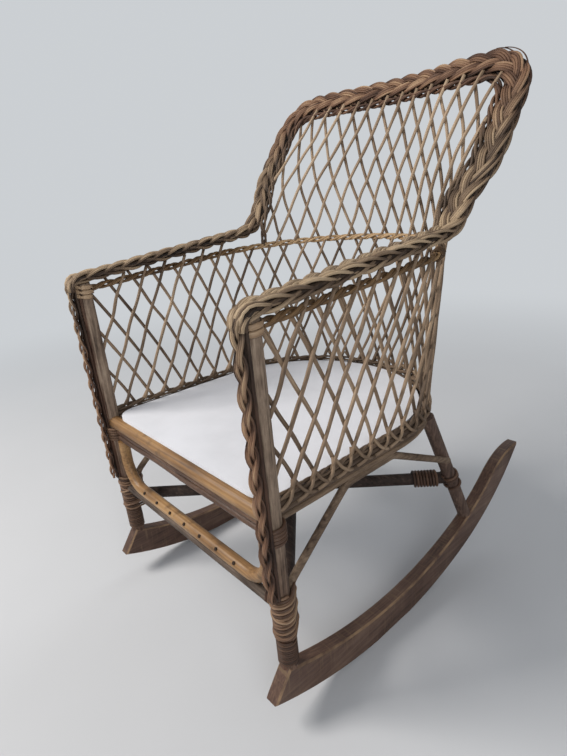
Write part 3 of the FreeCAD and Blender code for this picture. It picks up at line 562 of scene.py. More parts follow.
# How fine a pattern is along each axis
WILLOW_STREAKS = (14, 7, 1)
WILLOW_FLECKS = (120, 11, 1)
BARK_SCALE = 230
STREAK_SCALE = 8
FLECK_SCALE = 45
BOARD_GRAIN = (300, 9, 150)
WEAR_BREAKS = (60, 24, 60)
SCUFFS = (70, 18, 70)
SAW_MARKS = (9, 210, 16)
RATTAN_LINES = (6, 300, 300)
RATTAN_PATCHES = (7, 16, 16)
PANEL_FIBRES = (160, 260, 160)

ARRIS_SLOPE = math.sqrt(0.5)
BARK_ROUGHNESS = 0.66


def willow_finish(name, stops, roughness=0.62, red_stops=None):
    """Willow or cane strand: its own tone, streaks along the grain, grime in patches.

    red_stops are the redder colours that take over at the top of the back and down the posts.
    """
    material, tree, shader = new_finish(name, roughness, specular=0.3)
    tone = add_node(tree, "ShaderNodeAttribute", attribute_name="tone").outputs["Fac"]
    grain = add_node(tree, "ShaderNodeUVMap", uv_map="grain").outputs["UV"]
    place = object_place(tree)
    streaks = noise(tree, stretched(tree, grain, WILLOW_STREAKS), detail=3)
    flecks = noise(tree, stretched(tree, grain, WILLOW_FLECKS), detail=2)
    patches = noise(tree, place, scale=11, detail=3)
    shade = combined(tree, tone, from_to(tree, streaks, 0.25, 0.75, -0.16, 0.16))
    shade = varied(tree, shade, (flecks, 0.06), (patches, 0.13))
    colour = colours(tree, shade, stops)
    if red_stops:
        height = varied(tree, part_of(tree, place, "Z"), (patches, 0.03))
        crown = from_to(tree, height, *CROWN_HEIGHTS, 0, 1)
        share = combined(tree, crown, from_to(tree, height, *POST_HEIGHTS, 1, 0))
        colour = blended(tree, share, colour, colours(tree, shade, red_stops))
    paint(tree, shader, colour, from_to(tree, streaks, 0.2, 0.8, roughness + 0.14, roughness - 0.14))
    raised(tree, shader, combined(tree, streaks, flecks), distance=0.0012)
    return material


def pole_finish(name, stops, lengthwise, turn=(0, 0, 0), worn=None):
    """Barked pole with streaks along one axis; worn colours show on its outer sides, less lower down."""
    material, tree, shader = new_finish(name, BARK_ROUGHNESS, specular=0.28)
    place = object_place(tree)
    scale = [BARK_SCALE] * 3
    scale[lengthwise] = STREAK_SCALE
    streaks = noise(tree, stretched(tree, place, scale, turn), detail=5, rough=0.6)
    patches = noise(tree, place, scale=16)
    scale[lengthwise] = FLECK_SCALE
    flecks = noise(tree, stretched(tree, place, scale, turn), rough=0.65)
    shade = varied(tree, from_to(tree, streaks, 0.28, 0.72, 0.1, 0.8), (patches, 0.22))
    shade = combined(tree, shade, from_to(tree, flecks, 0.35, 0.65, -0.14, 0.14))
    colour = colours(tree, shade, stops)
    if worn:
        outer = varied(tree, size_of(tree, part_of(tree, facing(tree), "X")), (streaks, 0.35))
        share = from_to(tree, outer, 0.35, 0.7, 0, 1)
        higher = from_to(tree, part_of(tree, place, "Z"), *WORN_HEIGHTS, 0.2, 1)
        share = combined(tree, share, higher, "MULTIPLY")
        colour = blended(tree, share, colour, colours(tree, shade, worn))
    paint(tree, shader, colour, spread(tree, patches, BARK_ROUGHNESS + 0.1, BARK_ROUGHNESS - 0.12))
    raised(tree, shader, combined(tree, streaks, flecks), distance=0.003)
    return material


def board_finish(name):
    """Stained rocker board: grain along it, pale wear along its arrises, scuffs and saw marks."""
    material, tree, shader = new_finish(name, roughness=0.55, specular=0.35)
    place = object_place(tree)
    grain = noise(tree, stretched(tree, place, BOARD_GRAIN), detail=5, rough=0.62)
    patches = noise(tree, place, scale=9)
    shade = varied(tree, spread(tree, grain, 0.15, 0.75), (patches, 0.25))
    sideways = size_of(tree, part_of(tree, facing(tree), "X"))
    off_arris = size_of(tree, combined(tree, sideways, ARRIS_SLOPE, "SUBTRACT"))
    breaks = noise(tree, stretched(tree, place, WEAR_BREAKS), detail=3)
    wear = from_to(tree, off_arris, 0.05, 0.22, 0.75, 0)
    wear = combined(tree, wear, from_to(tree, breaks, 0.36, 0.6, 0, 1), "MULTIPLY")
    scuffs = noise(tree, stretched(tree, place, SCUFFS))
    saw_marks = noise(tree, stretched(tree, place, SAW_MARKS), rough=0.7)
    colour = blended(tree, wear, colours(tree, shade, STAIN_STOPS), BARE_WOOD)
    colour = blended(tree, from_to(tree, scuffs, 0.66, 0.74, 0, 0.5), colour, SCUFFED_WOOD)
    colour = blended(tree, from_to(tree, saw_marks, 0.54, 0.72, 0, 0.42), colour, SAWN_WOOD)
    paint(tree, shader, colour, spread(tree, patches, 0.68, 0.42))
    raised(tree, shader, grain, distance=0.0012, strength=0.5)
    return material


def rattan_finish(name):
    """Peeled rattan: yellow-brown skin with fine lines and dark stains."""
    material, tree, shader = new_finish(name, roughness=0.42, specular=0.4)
    place = object_place(tree)
    lines = noise(tree, stretched(tree, place, RATTAN_LINES), rough=0.6)
    patches = noise(tree, stretched(tree, place, RATTAN_PATCHES))
    stains = from_to(tree, noise(tree, place, scale=26, detail=5), 0.58, 0.72, 0, 0.75)
    shade = varied(tree, spread(tree, lines, 0.25, 0.75), (patches, 0.3))
    skin = colours(tree, shade, RATTAN_STOPS)
    paint(tree, shader, blended(tree, stains, skin, RATTAN_STAIN), spread(tree, patches, 0.55, 0.34))
    raised(tree, shader, lines, distance=0.0008, strength=0.5)
    return material


def panel_finish(name):
    """Matte white board with faint smudges and a dry, slightly ragged face."""
    material, tree, shader = new_finish(name, roughness=0.8, specular=0.25)
    place = object_place(tree)
    smudges = noise(tree, place, scale=6, detail=5)
    fibres = noise(tree, stretched(tree, place, PANEL_FIBRES), detail=3)
    paint(tree, shader, colours(tree, smudges, PANEL_STOPS))
    face = combined(tree, smudges, from_to(tree, fibres, 0, 1, 0, 0.25))
    raised(tree, shader, face, distance=0.002, strength=0.35)
    return material


def nail_finish(name):
    """Dark flat nail head with specks of rust."""
    material, tree, shader = new_finish(name, roughness=0.5, specular=0.5)
    shader.inputs["Metallic"].default_value = 0.7
    rust = noise(tree, object_place(tree), scale=220, detail=3)
    paint(tree, shader, colours(tree, rust, NAIL_STOPS))
    raised(tree, shader, rust, distance=0.0004, strength=0.5)
    return material


# Plaited border: one plait up a post, over the arm, round the back and down again

def border_path():
    foot = post_axis(POST_PLAIT_FOOT_Z) + Vector((POST_PLAIT_SHIFT, -POST_PLAIT_REACH, 0))
    nose = Vector((ARM_X, -ARM_FRONT_REACH, ARM_FRONT_Z))
    bend = back_point(ARM_X, 0)
    rise = back_point(ARM_X, BACK_RISE)
    upright, top = back_half(0)
    left = rounded_runs([foot, nose, bend, rise], [ARM_NOSE_RADIUS, ARM_BEND_RADIUS]) + upright + top
    return Path(both_halves(left), TO_LEFT)


def smooth_step(value, low, high):
    share = min(1, max(0, (value - low) / (high - low)))
    return share * share * (3 - 2 * share)


def between(first, second, share):
    return first + (second - first) * share


PLAIT_STEP = 6.5
BORDER_BUNDLES = 5
BORDER_RODS = 4
BORDER_ROD = 4.3
POST_BUNDLES = 3
POST_RODS = 3
POST_ROD = 3.4
ROD_PACKING = 0.92
POST_WAVE = 118
POST_PLAIT_PROUD = 4
ARM_WAVE = 176
ARM_FRONT_SHARE = 0.82
BACK_WAVE = 196
STAKES = 4
UNDER_RODS = 3
UNDER_ROD = 5.4
BASE_TONES = (0.24, 0.34, 0.42, 0.50, 0.58, 0.72)
# Plait rods are lighter where they rise and darker where they dip: partly wear on the raised rods, partly
# painted shade in the plait's hollows and painted highlight on its crests.
WEAR_AND_SHADE_SWING = 0.22
TONE_DRIFT = 0.1
DRIFT_LENGTH = 97
PLAIT_LIFT = 0.8
BUNDLE_ROUNDING = 0.08
ROD_UNEVEN_HEIGHT = 0.5
ROD_UNEVEN_WIDTH = 0.08
ROD_SWELL = 1.02
# Stakes get very dark tones: painted shade inside the plait, seen through its gaps.
STAKE_SHADE_TONES = (0.06, 0.2)
STAKE_SPREAD = 0.8
STAKE_THICKNESS = 0.4
POST_STAKE_SINK = 0.38
POST_OVERRUN = 24
NOSE_WIDTH = POST_PLAIT_WIDTH + 6
NOSE_GROWTH = (-4, 30)
ARM_FULL_START = 60
WAVE_CHANGE = 90
SHADE_CHANGE = 120
ARM_SHADE = 0.18
BACK_SHADE = -0.02
POST_SHADE = -0.08
# The plait's underside is darker: painted shade.
UNDER_PAINTED_SHADE = -0.06
# Place from the corner of the back, length and rise of each loose rod end
STRAY_ENDS = ((-22, 56, 6), (16, 30, 4))
STRAY_STATIONS = 12
STRAY_ROD = 2.6
STRAY_TAPER = 1.1
STRAY_TONE = 0.3
STRAY_TURN = 0.8 * math.pi
STRAY_INSET = 3
STRAY_LIFTS = (2, 7)


def plait(weave, path, marks, bundles, rods, rod, shape, shade, face=1):
    """One face of a flat plait; shape gives its width, thickness and wave at a length, shade its tone."""
    chance = weave.chance
    turns = [0.0]
    for before, after in zip(marks, marks[1:]):
        turns.append(turns[-1] + 2 * math.pi * (after - before) / shape(after)[2])
    bundle_width = rods * rod * ROD_PACKING
    for bundle in range(bundles):
        for number in range(rods):
            base = chance.choice(BASE_TONES)
            stray = chance.uniform(-ROD_UNEVEN_HEIGHT, ROD_UNEVEN_HEIGHT)
            fade = chance.uniform(0, 2 * math.pi)
            place = number - (rods - 1) / 2
            line, tones = [], []
            for length, turn in zip(marks, turns):
                width, thick, wave = shape(length)
                reach = (width - bundle_width) / 2
                lift = (thick - rod) / 4
                swing = turn + 2 * math.pi * bundle / bundles
                point, along, across, out = path.at(length)
                slope = reach * math.cos(swing) * 2 * math.pi / wave
                side = (across - along * slope).normalized()
                height = lift * (PLAIT_LIFT + math.sin(2 * swing)) + stray
                height -= BUNDLE_ROUNDING * rod * place ** 2
                line.append(point + across * (reach * math.sin(swing)) + side * (place * rod * ROD_PACKING)
                            + out * (face * height))
                drift = TONE_DRIFT * math.sin(length / DRIFT_LENGTH + fade)
                # Lighter where the rod rises, darker where it dips: partly wear, partly painted shade and
                # highlight.
                tones.append(base + WEAR_AND_SHADE_SWING * math.sin(2 * swing) + drift + shade(length))
            rod_width = rod * (ROD_SWELL + ROD_UNEVEN_WIDTH * stray)
            weave.lay(line, even(rod_width, line), tones, sides=THIN_SIDES)


def plait_stakes(weave, path, marks, shape, sink):
    """Stakes that the plait is worked over; sink is how far inward they lie, as a share of its thickness."""
    for number in range(STAKES):
        place = (number - (STAKES - 1) / 2) / STAKES
        # Dark tone: painted shade inside the plait.
        tone = weave.chance.uniform(*STAKE_SHADE_TONES)
        line, widths = [], []
        for length in marks:
            width, thick, _ = shape(length)
            point, _, across, out = path.at(length)
            line.append(point + across * (width * STAKE_SPREAD * place) - out * (thick * sink))
            widths.append(min(width / STAKES, thick * STAKE_THICKNESS))
        weave.lay(line, widths, even(tone, line), sides=THIN_SIDES)


def stray_end(weave, path, start, reach, rise):
    """Loose rod end that bows out of the edge of the plait."""
    line, widths = [], []
    for number in range(STRAY_STATIONS + 1):
        share = number / STRAY_STATIONS
        point, _, across, out = path.at(start + reach * share)
        bow = PLAIT_WIDTH / 2 - STRAY_INSET + rise * math.sin(STRAY_TURN * share)
        line.append(point + across * bow + out * between(*STRAY_LIFTS, share))
        widths.append(STRAY_ROD - STRAY_TAPER * share)
    weave.lay(line, widths, even(STRAY_TONE, line), sides=THIN_SIDES)


def plaited_border():
    weave = Weave("plaited_border", seed=11)
    path = border_path()
    post_length = ARM_FRONT_Z - POST_PLAIT_FOOT_Z - ARM_NOSE_RADIUS
    arm_length = post_length + ARM_FRONT_REACH + ARM_REAR_Y

    def post_shape(length):
        return POST_PLAIT_WIDTH, POST_PLAIT_THICKNESS + POST_PLAIT_PROUD, POST_WAVE

    def border_shape(length):
        near = min(length, path.length - length)
        grow = smooth_step(near, *[post_length + reach for reach in NOSE_GROWTH])
        full = between(ARM_FRONT_SHARE, 1, smooth_step(near, post_length + ARM_FULL_START, arm_length))
        width = between(NOSE_WIDTH, PLAIT_WIDTH * full, grow)
        thick = between(POST_PLAIT_THICKNESS, PLAIT_THICKNESS, grow)
        wave = between(ARM_WAVE, BACK_WAVE, smooth_step(near, arm_length, arm_length + WAVE_CHANGE))
        return width, thick, wave

    def border_shade(length):
        near = min(length, path.length - length)
        return between(ARM_SHADE, BACK_SHADE, smooth_step(near, arm_length, arm_length + SHADE_CHANGE))

    post_end = post_length + POST_OVERRUN
    for start, end in ((0, post_end), (path.length - post_end, path.length)):
        marks = path.marks(PLAIT_STEP, start, end)
        plait(weave, path, marks, POST_BUNDLES, POST_RODS, POST_ROD, post_shape, lambda length: POST_SHADE)
        plait_stakes(weave, path, marks, post_shape, POST_STAKE_SINK)
    marks = path.marks(PLAIT_STEP, post_length, path.length - post_length)
    plait(weave, path, marks, BORDER_BUNDLES, BORDER_RODS, BORDER_ROD, border_shape, border_shade)
    # Underside layer of the plait, darker as painted shade.
    plait(weave, path, marks, BORDER_BUNDLES, UNDER_RODS, UNDER_ROD, border_shape,
          lambda length: UNDER_PAINTED_SHADE, face=-1)
    plait_stakes(weave, path, marks, border_shape, 0)
    corner = back_point(BACK_HALF_WIDTH, BACK_HEIGHT)
    at_corner = min(marks, key=lambda length: (path.at(length)[0] - corner).length)
    for start, reach, rise in STRAY_ENDS:
        stray_end(weave, path, at_corner + start, reach, rise)
    weave.make(willow_finish("willow_plait", WILLOW_STOPS, red_stops=RED_STOPS), "willow_weave",
               "plait_post_left", "plait_arm_left", "plait_back", "plait_arm_right", "plait_post_right")


# Wales: two strands twisted round each other

TWIST_STATIONS = 14
TWIST_STRANDS = 2
TWIST_RODS = 2
TWIST_ROD = 1 / 2.8
TWIST_RADIUS = 1 / 3.4
TWIST_PACKING = 0.84
TWIST_SWELL = 1.06


def twist(weave, path, diameter, pitch, tones, shade=None):
    """Two strands of two rods each, turning round the path; shade, where given, darkens them by place as
    painted shade.
    """
    strand = diameter * TWIST_ROD
    radius = diameter * TWIST_RADIUS
    marks = path.marks(pitch / TWIST_STATIONS)
    for number in range(TWIST_STRANDS):
        for rod in range(TWIST_RODS):
            shift = (rod - (TWIST_RODS - 1) / 2) * strand * TWIST_PACKING
            base = weave.chance.uniform(*tones)
            line, shades = [], []
            for length in marks:
                turn = 2 * math.pi * (length / pitch + number / TWIST_STRANDS)
                point, _, across, out = path.at(length)
                ring = across * math.cos(turn) + out * math.sin(turn)
                swing = out * math.cos(turn) - across * math.sin(turn)
                line.append(point + ring * (radius - shift ** 2 / diameter) + swing * shift)
                shades.append(base - (shade(point) if shade else 0))
            weave.lay(line, even(strand * TWIST_SWELL, line), shades)


CORNER_WRAP_TURN = math.radians(74)
CORNER_WRAP_TURNS = 5
CORNER_WRAP_TONE = 0.1
CORNER_WRAP_RADIUS = WALE_ROD / 2 + 1
MID_PITCH = 74
MID_TONES = (0.74, 1.0)
MID_STATIONS = 60
# The mid wale darkens along the arms: painted shade under the arm's plait.
ARM_WALE_PAINTED_SHADE = 0.62
ARM_WALE_SHADE_REACH = (-190, -60)
CROWN_PITCH = 78
CROWN_TONES = (0.24, 0.5)


def mid_wale(turn):
    lift = (WALE_REAR_Z - WALE_BEND_Z) * math.cos(turn)
    return Vector((WALE_HALF_WIDTH * math.sin(turn), WALE_BEND_Y + WALE_HALF_WIDTH * math.cos(turn),
                   WALE_BEND_Z + lift))


def wales():
    bend = mid_wale(math.pi / 2)
    front = Vector((WALE_HALF_WIDTH, post_axis(WALE_FRONT_Z).y + POLE_RADIUS, WALE_FRONT_Z))
    turns = [math.pi / 2 * (1 - number / MID_STATIONS) for number in range(MID_STATIONS + 1)]
    left = run(front, bend) + [mid_wale(turn) for turn in turns]
    middle = Weave("mid_wale", seed=21)
    # Along the arms the wale gets painted shade from the plait above it.
    twist(middle, Path(both_halves(left), UP), WALE_ROD, MID_PITCH, MID_TONES,
          shade=lambda point: ARM_WALE_PAINTED_SHADE * smooth_step(-point.y, *ARM_WALE_SHADE_REACH))
    near, far = mid_wale(CORNER_WRAP_TURN), mid_wale(WALE_TOP_TURN)
    line = coil(near, (far - near).normalized(), CORNER_WRAP_RADIUS, CORNER_WRAP_TURNS, CANE)
    middle.lay(line, even(CANE, line), even(CORNER_WRAP_TONE, line))
    middle.make(willow_finish("willow_mid_wale", TAN_STOPS), "willow_weave",
                "wale_arm_left", "wale_back", "wale_arm_right")

    start = mid_wale(WALE_TOP_TURN)
    upright, top = back_half(WALE_INSET)
    lead = biarc(start, (upright[0] - start).normalized(), upright[0], UP_SLOPE)
    rope = Weave("top_wale", seed=22)
    twist(rope, Path(both_halves(lead + upright + top), TO_LEFT), WALE_ROD, CROWN_PITCH, CROWN_TONES)
    finish = willow_finish("willow_top_wale", ROD_STOPS, red_stops=RED_STOPS)
    rope.make(finish, "willow_weave", "wale_top")


# Lattice: two layers of slanting rods

def side_length():
    return SEAT_BEND_Y + RAIL_REACH - POLE_RADIUS + LATTICE_LET_IN


def lower_shell(place, rise):
    """Point between the seat's top row and the mid wale; place runs round from the middle of the back."""
    hand = math.copysign(1, place)
    past = abs(place) - math.pi / 2 * SEAT_HALF_WIDTH
    turn = place / SEAT_HALF_WIDTH
    if past > 0:
        share = past / side_length()
        low = Vector((hand * SEAT_HALF_WIDTH, SEAT_BEND_Y - past, TOP_ROW_Z))
        front = post_axis(WALE_FRONT_Z).y + POLE_RADIUS - LATTICE_LET_IN
        bend = mid_wale(math.pi / 2)
        high = Vector((hand * bend.x, between(bend.y, front, share), between(bend.z, WALE_FRONT_Z, share)))
    else:
        low = Vector((SEAT_HALF_WIDTH * math.sin(turn), SEAT_BEND_Y + SEAT_HALF_WIDTH * math.cos(turn),
                      TOP_ROW_Z))
        high = mid_wale(turn)
    return low.lerp(high, rise)


def upper_shell():
    """Surface between the mid wale and the top wale, as a function."""
    upright, top = back_half(WALE_INSET, square=True)
    flare = back_point(BACK_HALF_WIDTH - WALE_INSET, BACK_FLARE)
    start = mid_wale(WALE_TOP_TURN)
    edge = biarc(start, (flare - start).normalized(), flare, UP_SLOPE) + run(flare, upright[-1])
    side = Path(edge, TO_LEFT)
    crown = Path(both_halves(top), UP_SLOPE)

    def on_side(hand, rise):
        point = side.at(rise * side.length)[0]
        return Vector((hand * point.x, point.y, point.z))

    def surface(place, rise):
        across = place / (WALE_TOP_TURN * WALE_HALF_WIDTH)
        left, right = (1 + across) / 2, (1 - across) / 2
        low = mid_wale(WALE_TOP_TURN * across)
        high = crown.at(right * crown.length)[0]
        low_corners = mid_wale(WALE_TOP_TURN) * left + mid_wale(-WALE_TOP_TURN) * right
        high_corners = crown.at(0)[0] * left + crown.at(crown.length)[0] * right
        return (low * (1 - rise) + high * rise + on_side(1, rise) * left + on_side(-1, rise) * right
                - low_corners * (1 - rise) - high_corners * rise)

    return surface


def rod_places(chance, limit, lean):
    """Middles of the rods of one direction, spaced past both limits."""
    count = int((limit + abs(lean) / 2) / LATTICE_SPACING) + 1
    quarter = math.copysign(LATTICE_SPACING / 4, lean)
    places = []
    for number in range(-count, count + 1):
        places.append(number * LATTICE_SPACING + quarter + chance.uniform(-ROD_STRAY, ROD_STRAY))
    return places


def rod_span(middle, lean, limit, low, high):
    ends = sorted(0.5 + (edge - middle) / lean for edge in (-limit, limit))
    return max(low, ends[0]), min(high, ends[1])


SMALL_RISE = 0.002


def lay_rod(weave, surface, middle, lean, layer, start, end, tone):
    """One rod of the lattice, on its own side of the surface."""
    points = []
    for number in range(LATTICE_STATIONS + 1):
        rise = between(start, end, number / LATTICE_STATIONS)
        place = middle + lean * (rise - 0.5)
        round_way = surface(place + 1, rise) - surface(place - 1, rise)
        up_way = surface(place, rise + SMALL_RISE) - surface(place, rise - SMALL_RISE)
        points.append(surface(place, rise) + round_way.cross(up_way).normalized() * layer)
    round_way = (surface(middle + 1, 0.5) - surface(middle - 1, 0.5)).normalized()
    path = Path(points, round_way)
    line, widths = swaying(weave, path, LATTICE_ROD, LATTICE_SWAY, LATTICE_KNOTS, LATTICE_STEP, lifts=False)
    weave.lay(line, widths, even(tone, line))


# Each step of a tail: along the row, out from it and down
TAIL_STEPS = ((-8, 0, -17), (-3, 4.5, -6), (2, 7.5, 2), (9, 8.5, 8), (19, 7.5, 14), (30, 3, 19))
TAIL_STRAY = 0.5
TAIL_ROD = 0.9 * LATTICE_ROD


def lay_tail(weave, place, lean, tone):
    """End of a lattice rod, brought down outside the seat rows and tucked in."""
    hand = math.copysign(1, lean)
    line = []
    for along, out, drop in TAIL_STEPS:
        point = lower_shell(place - hand * along, 0)
        middle = Vector((0, min(point.y, SEAT_BEND_Y), point.z))
        away = (point - middle).normalized()
        line.append(point + away * (out + weave.chance.uniform(-TAIL_STRAY, TAIL_STRAY)) - UP * drop)
    line = smoothed(line)
    weave.lay(line, even(TAIL_ROD, line), even(tone, line))


LOWER_TONES = (0.38, 0.8)
# Rods of the rear layer (-1) get darker tones than those of the front layer (1): painted shade behind the
# front layer.
UPPER_TONES = {1: (0.72, 0.98), -1: (0.56, 0.78)}


def lattices():
    layer = (LATTICE_ROD + LAYER_GAP) / 2
    lower = Weave("lower_lattice", seed=31)
    chance = lower.chance
    height = WALE_BEND_Z - TOP_ROW_Z
    let_in = ROD_END / height
    bend = math.pi / 2 * SEAT_HALF_WIDTH
    limit = bend + side_length()
    arm_slope = (ARM_REAR_Z - ARM_FRONT_Z) / (ARM_REAR_Y + ARM_FRONT_REACH)
    for hand in (1, -1):
        lean = hand * LATTICE_SLANT * height
        for middle in rod_places(chance, limit, lean):
            start, end = rod_span(middle, lean, limit, let_in, 1 - let_in)
            if end - start < SHORTEST_ROD:
                continue
            top = middle + lean * (end - 0.5)
            foot = middle + lean * (start - 0.5)
            if min(abs(top), abs(foot)) > bend and end == 1 - let_in:
                over = lower_shell(top, 1)
                border = ARM_FRONT_Z + arm_slope * (over.y + ARM_FRONT_REACH)
                end += (border - PLAIT_THICKNESS / 2 + LATTICE_LET_IN - over.z) / height
            tone = chance.uniform(*LOWER_TONES)
            lay_rod(lower, lower_shell, middle, lean, hand * layer, start, end, tone)
            if start == let_in:
                lay_tail(lower, foot, lean, tone)
    lower.make(willow_finish("willow_rod_lower", ROD_STOPS), "willow_rod",
               "lattice_side_left", "lattice_side_right", "lattice_back_lower")

    upper = Weave("upper_lattice", seed=32)
    chance = upper.chance
    surface = upper_shell()
    limit = WALE_TOP_TURN * WALE_HALF_WIDTH
    height = (surface(0, 1) - surface(0, 0)).length
    reach = (WALE_INSET - PLAIT_WIDTH / 2 + LATTICE_LET_IN) / height
    for hand in (1, -1):
        lean = hand * LATTICE_SLANT * height
        for middle in rod_places(chance, limit, lean):
            start, end = rod_span(middle, lean, limit, ROD_END / height, 1)
            if end - start < SHORTEST_ROD:
                continue
            if end == 1:
                end += reach
            # Darker tones on the rear layer are painted shade.
            tone = chance.uniform(*UPPER_TONES[hand])
            lay_rod(upper, surface, middle, lean, hand * layer, start, end, tone)
    upper.make(willow_finish("willow_rod_upper", ROD_STOPS), "willow_rod", "lattice_back_upper")


# Seat rows and reeds

def seat_rows():
    rows = Weave("seat_rows", seed=41)
    for height, tone in zip(HOOP_HEIGHTS, HOOP_TONES):
        path = Path(hoop_points(SEAT_HALF_WIDTH, height, HOOP_END_REACH), UP)
        line, widths = swaying(rows, path, HOOP_ROD, HOOP_SWAY, HOOP_KNOTS)
        rows.lay(line, widths, even(tone, line))
    rows.make(willow_finish("willow_row", ROD_STOPS), "bent_rod", "seat_hoop_1", "seat_hoop_2", "seat_hoop_3")

    top = Weave("seat_top_row", seed=42)
    path = Path(hoop_points(SEAT_HALF_WIDTH, TOP_ROW_Z, HOOP_END_REACH), UP)
    twist(top, path, TOP_ROW_ROD, TOP_ROW_PITCH, TOP_ROW_TONES)
    top.make(willow_finish("willow_top_row", ROD_STOPS), "bent_rod", "seat_hoop_top")

    reeds = Weave("front_reeds", seed=43)
    for height in REED_HEIGHTS:
        reach = post_axis(height).y
        ends = [Vector((hand * REED_HALF_LENGTH, reach, height)) for hand in (-1, 1)]
        line, widths = swaying(reeds, Path(run(*ends), UP), REED_ROD * REED_SHARE, REED_SWAY, REED_KNOTS)
        reeds.lay(line, widths, even(REED_TONE, line), sides=REED_SIDES)
    brown = willow_finish("brown_reed", CANE_STOPS, roughness=0.45)
    reeds.make(brown, "bent_rod", "front_reed_1", "front_reed_2")


# Cane bindings

WRAP_SPOTS = 24
CANE_STRAY = 0.25
FOOT_LEAN = {"tilt": 2.5, "tilt_way": 0.6}
# Middle tone of a mottled cane, its swing and the length of a swing
FOOT_TONES = (0.5, 0.22, 9)
FINE_TONES = (0.34, 0.1, 9)
CROSS_TONES = (0.34, 0.12, 11)
# Height, tilt and tilt_way of each loose loop over a foot binding
FOOT_LOOPS = ((174, 5, 2.2), (205, 6, 2.8), (226, 4, 0.4))
LOOP_TURNS = 1.1
LOOP_RISE = 2
LOOP_PROUD = 3
LOOP_START = 2.4
LOOP_TONES = (0.6, 0.8)
CORNER_LEAN = {"tilt": 1.5, "tilt_way": 1.0, "start_turn": 2.0}
CORNER_STEP = 0.92 * CANE_STEP
CORNER_TONE = 0.52
RING_THICKNESS = RING_CANE / 2
RING_START = 2.6
RING_TONE = 0.95
RING_FLATNESS = 2.1
SNUG = 1.1
CROSS_CLEARANCE = 0.4
NEARLY_UPRIGHT = 0.9
# Place down the leg, and turns, of each winding beside a cross stretcher
LEG_LOOPS = ((-14, 2), (13, 1))


def wrap(circles, start_z, turns, cane, step, chance, tilt=0.0, tilt_way=0.0, start_turn=0.0):
    """Line of a cane wound upwards round standing poles; circles gives their places and radii at a height.

    The turns lean by tilt, most towards tilt_way, and begin at start_turn; both are angles in radians.
    """
    line = []
    for spot in range(round(turns * WRAP_SPOTS) + 1):
        turn = start_turn + 2 * math.pi * spot / WRAP_SPOTS
        level = start_z + step * spot / WRAP_SPOTS
        way = Vector((math.cos(turn), math.sin(turn), 0))
        centre, radius = max(circles(level), key=lambda circle: circle[0].dot(way) + circle[1])
        point = centre + way * (radius + cane / 2)
        point.z = level + tilt * math.cos(turn - tilt_way) + chance.uniform(-CANE_STRAY, CANE_STRAY)
        line.append(point)
    return line


def post_circle(level):
    return [(post_axis(level), POLE_RADIUS)]


def post_and_arch(level):
    return [(post_axis(level), POLE_RADIUS), (Vector((ARCH_X, -ARCH_FOOT_REACH, level)), ARCH_RADIUS)]


def lay_both(weave, line, width, tones, **more):
    """The same cane on the left post and, mirrored, on the right one."""
    weave.lay(line, even(width, line), tones, **more)
    weave.lay(mirrored(line), even(width, line), tones, **more)


def coil(start, way, radius, turns, step):
    """Line of a cane wound round a slanting pole."""
    side = way.cross(UP if abs(way.z) < NEARLY_UPRIGHT else TO_LEFT).normalized()
    other = way.cross(side)
    line = []
    for spot in range(turns * WRAP_SPOTS + 1):
        turn = 2 * math.pi * spot / WRAP_SPOTS
        line.append(start + (side * math.cos(turn) + other * math.sin(turn)) * radius
                    + way * (step * spot / WRAP_SPOTS))
    return line


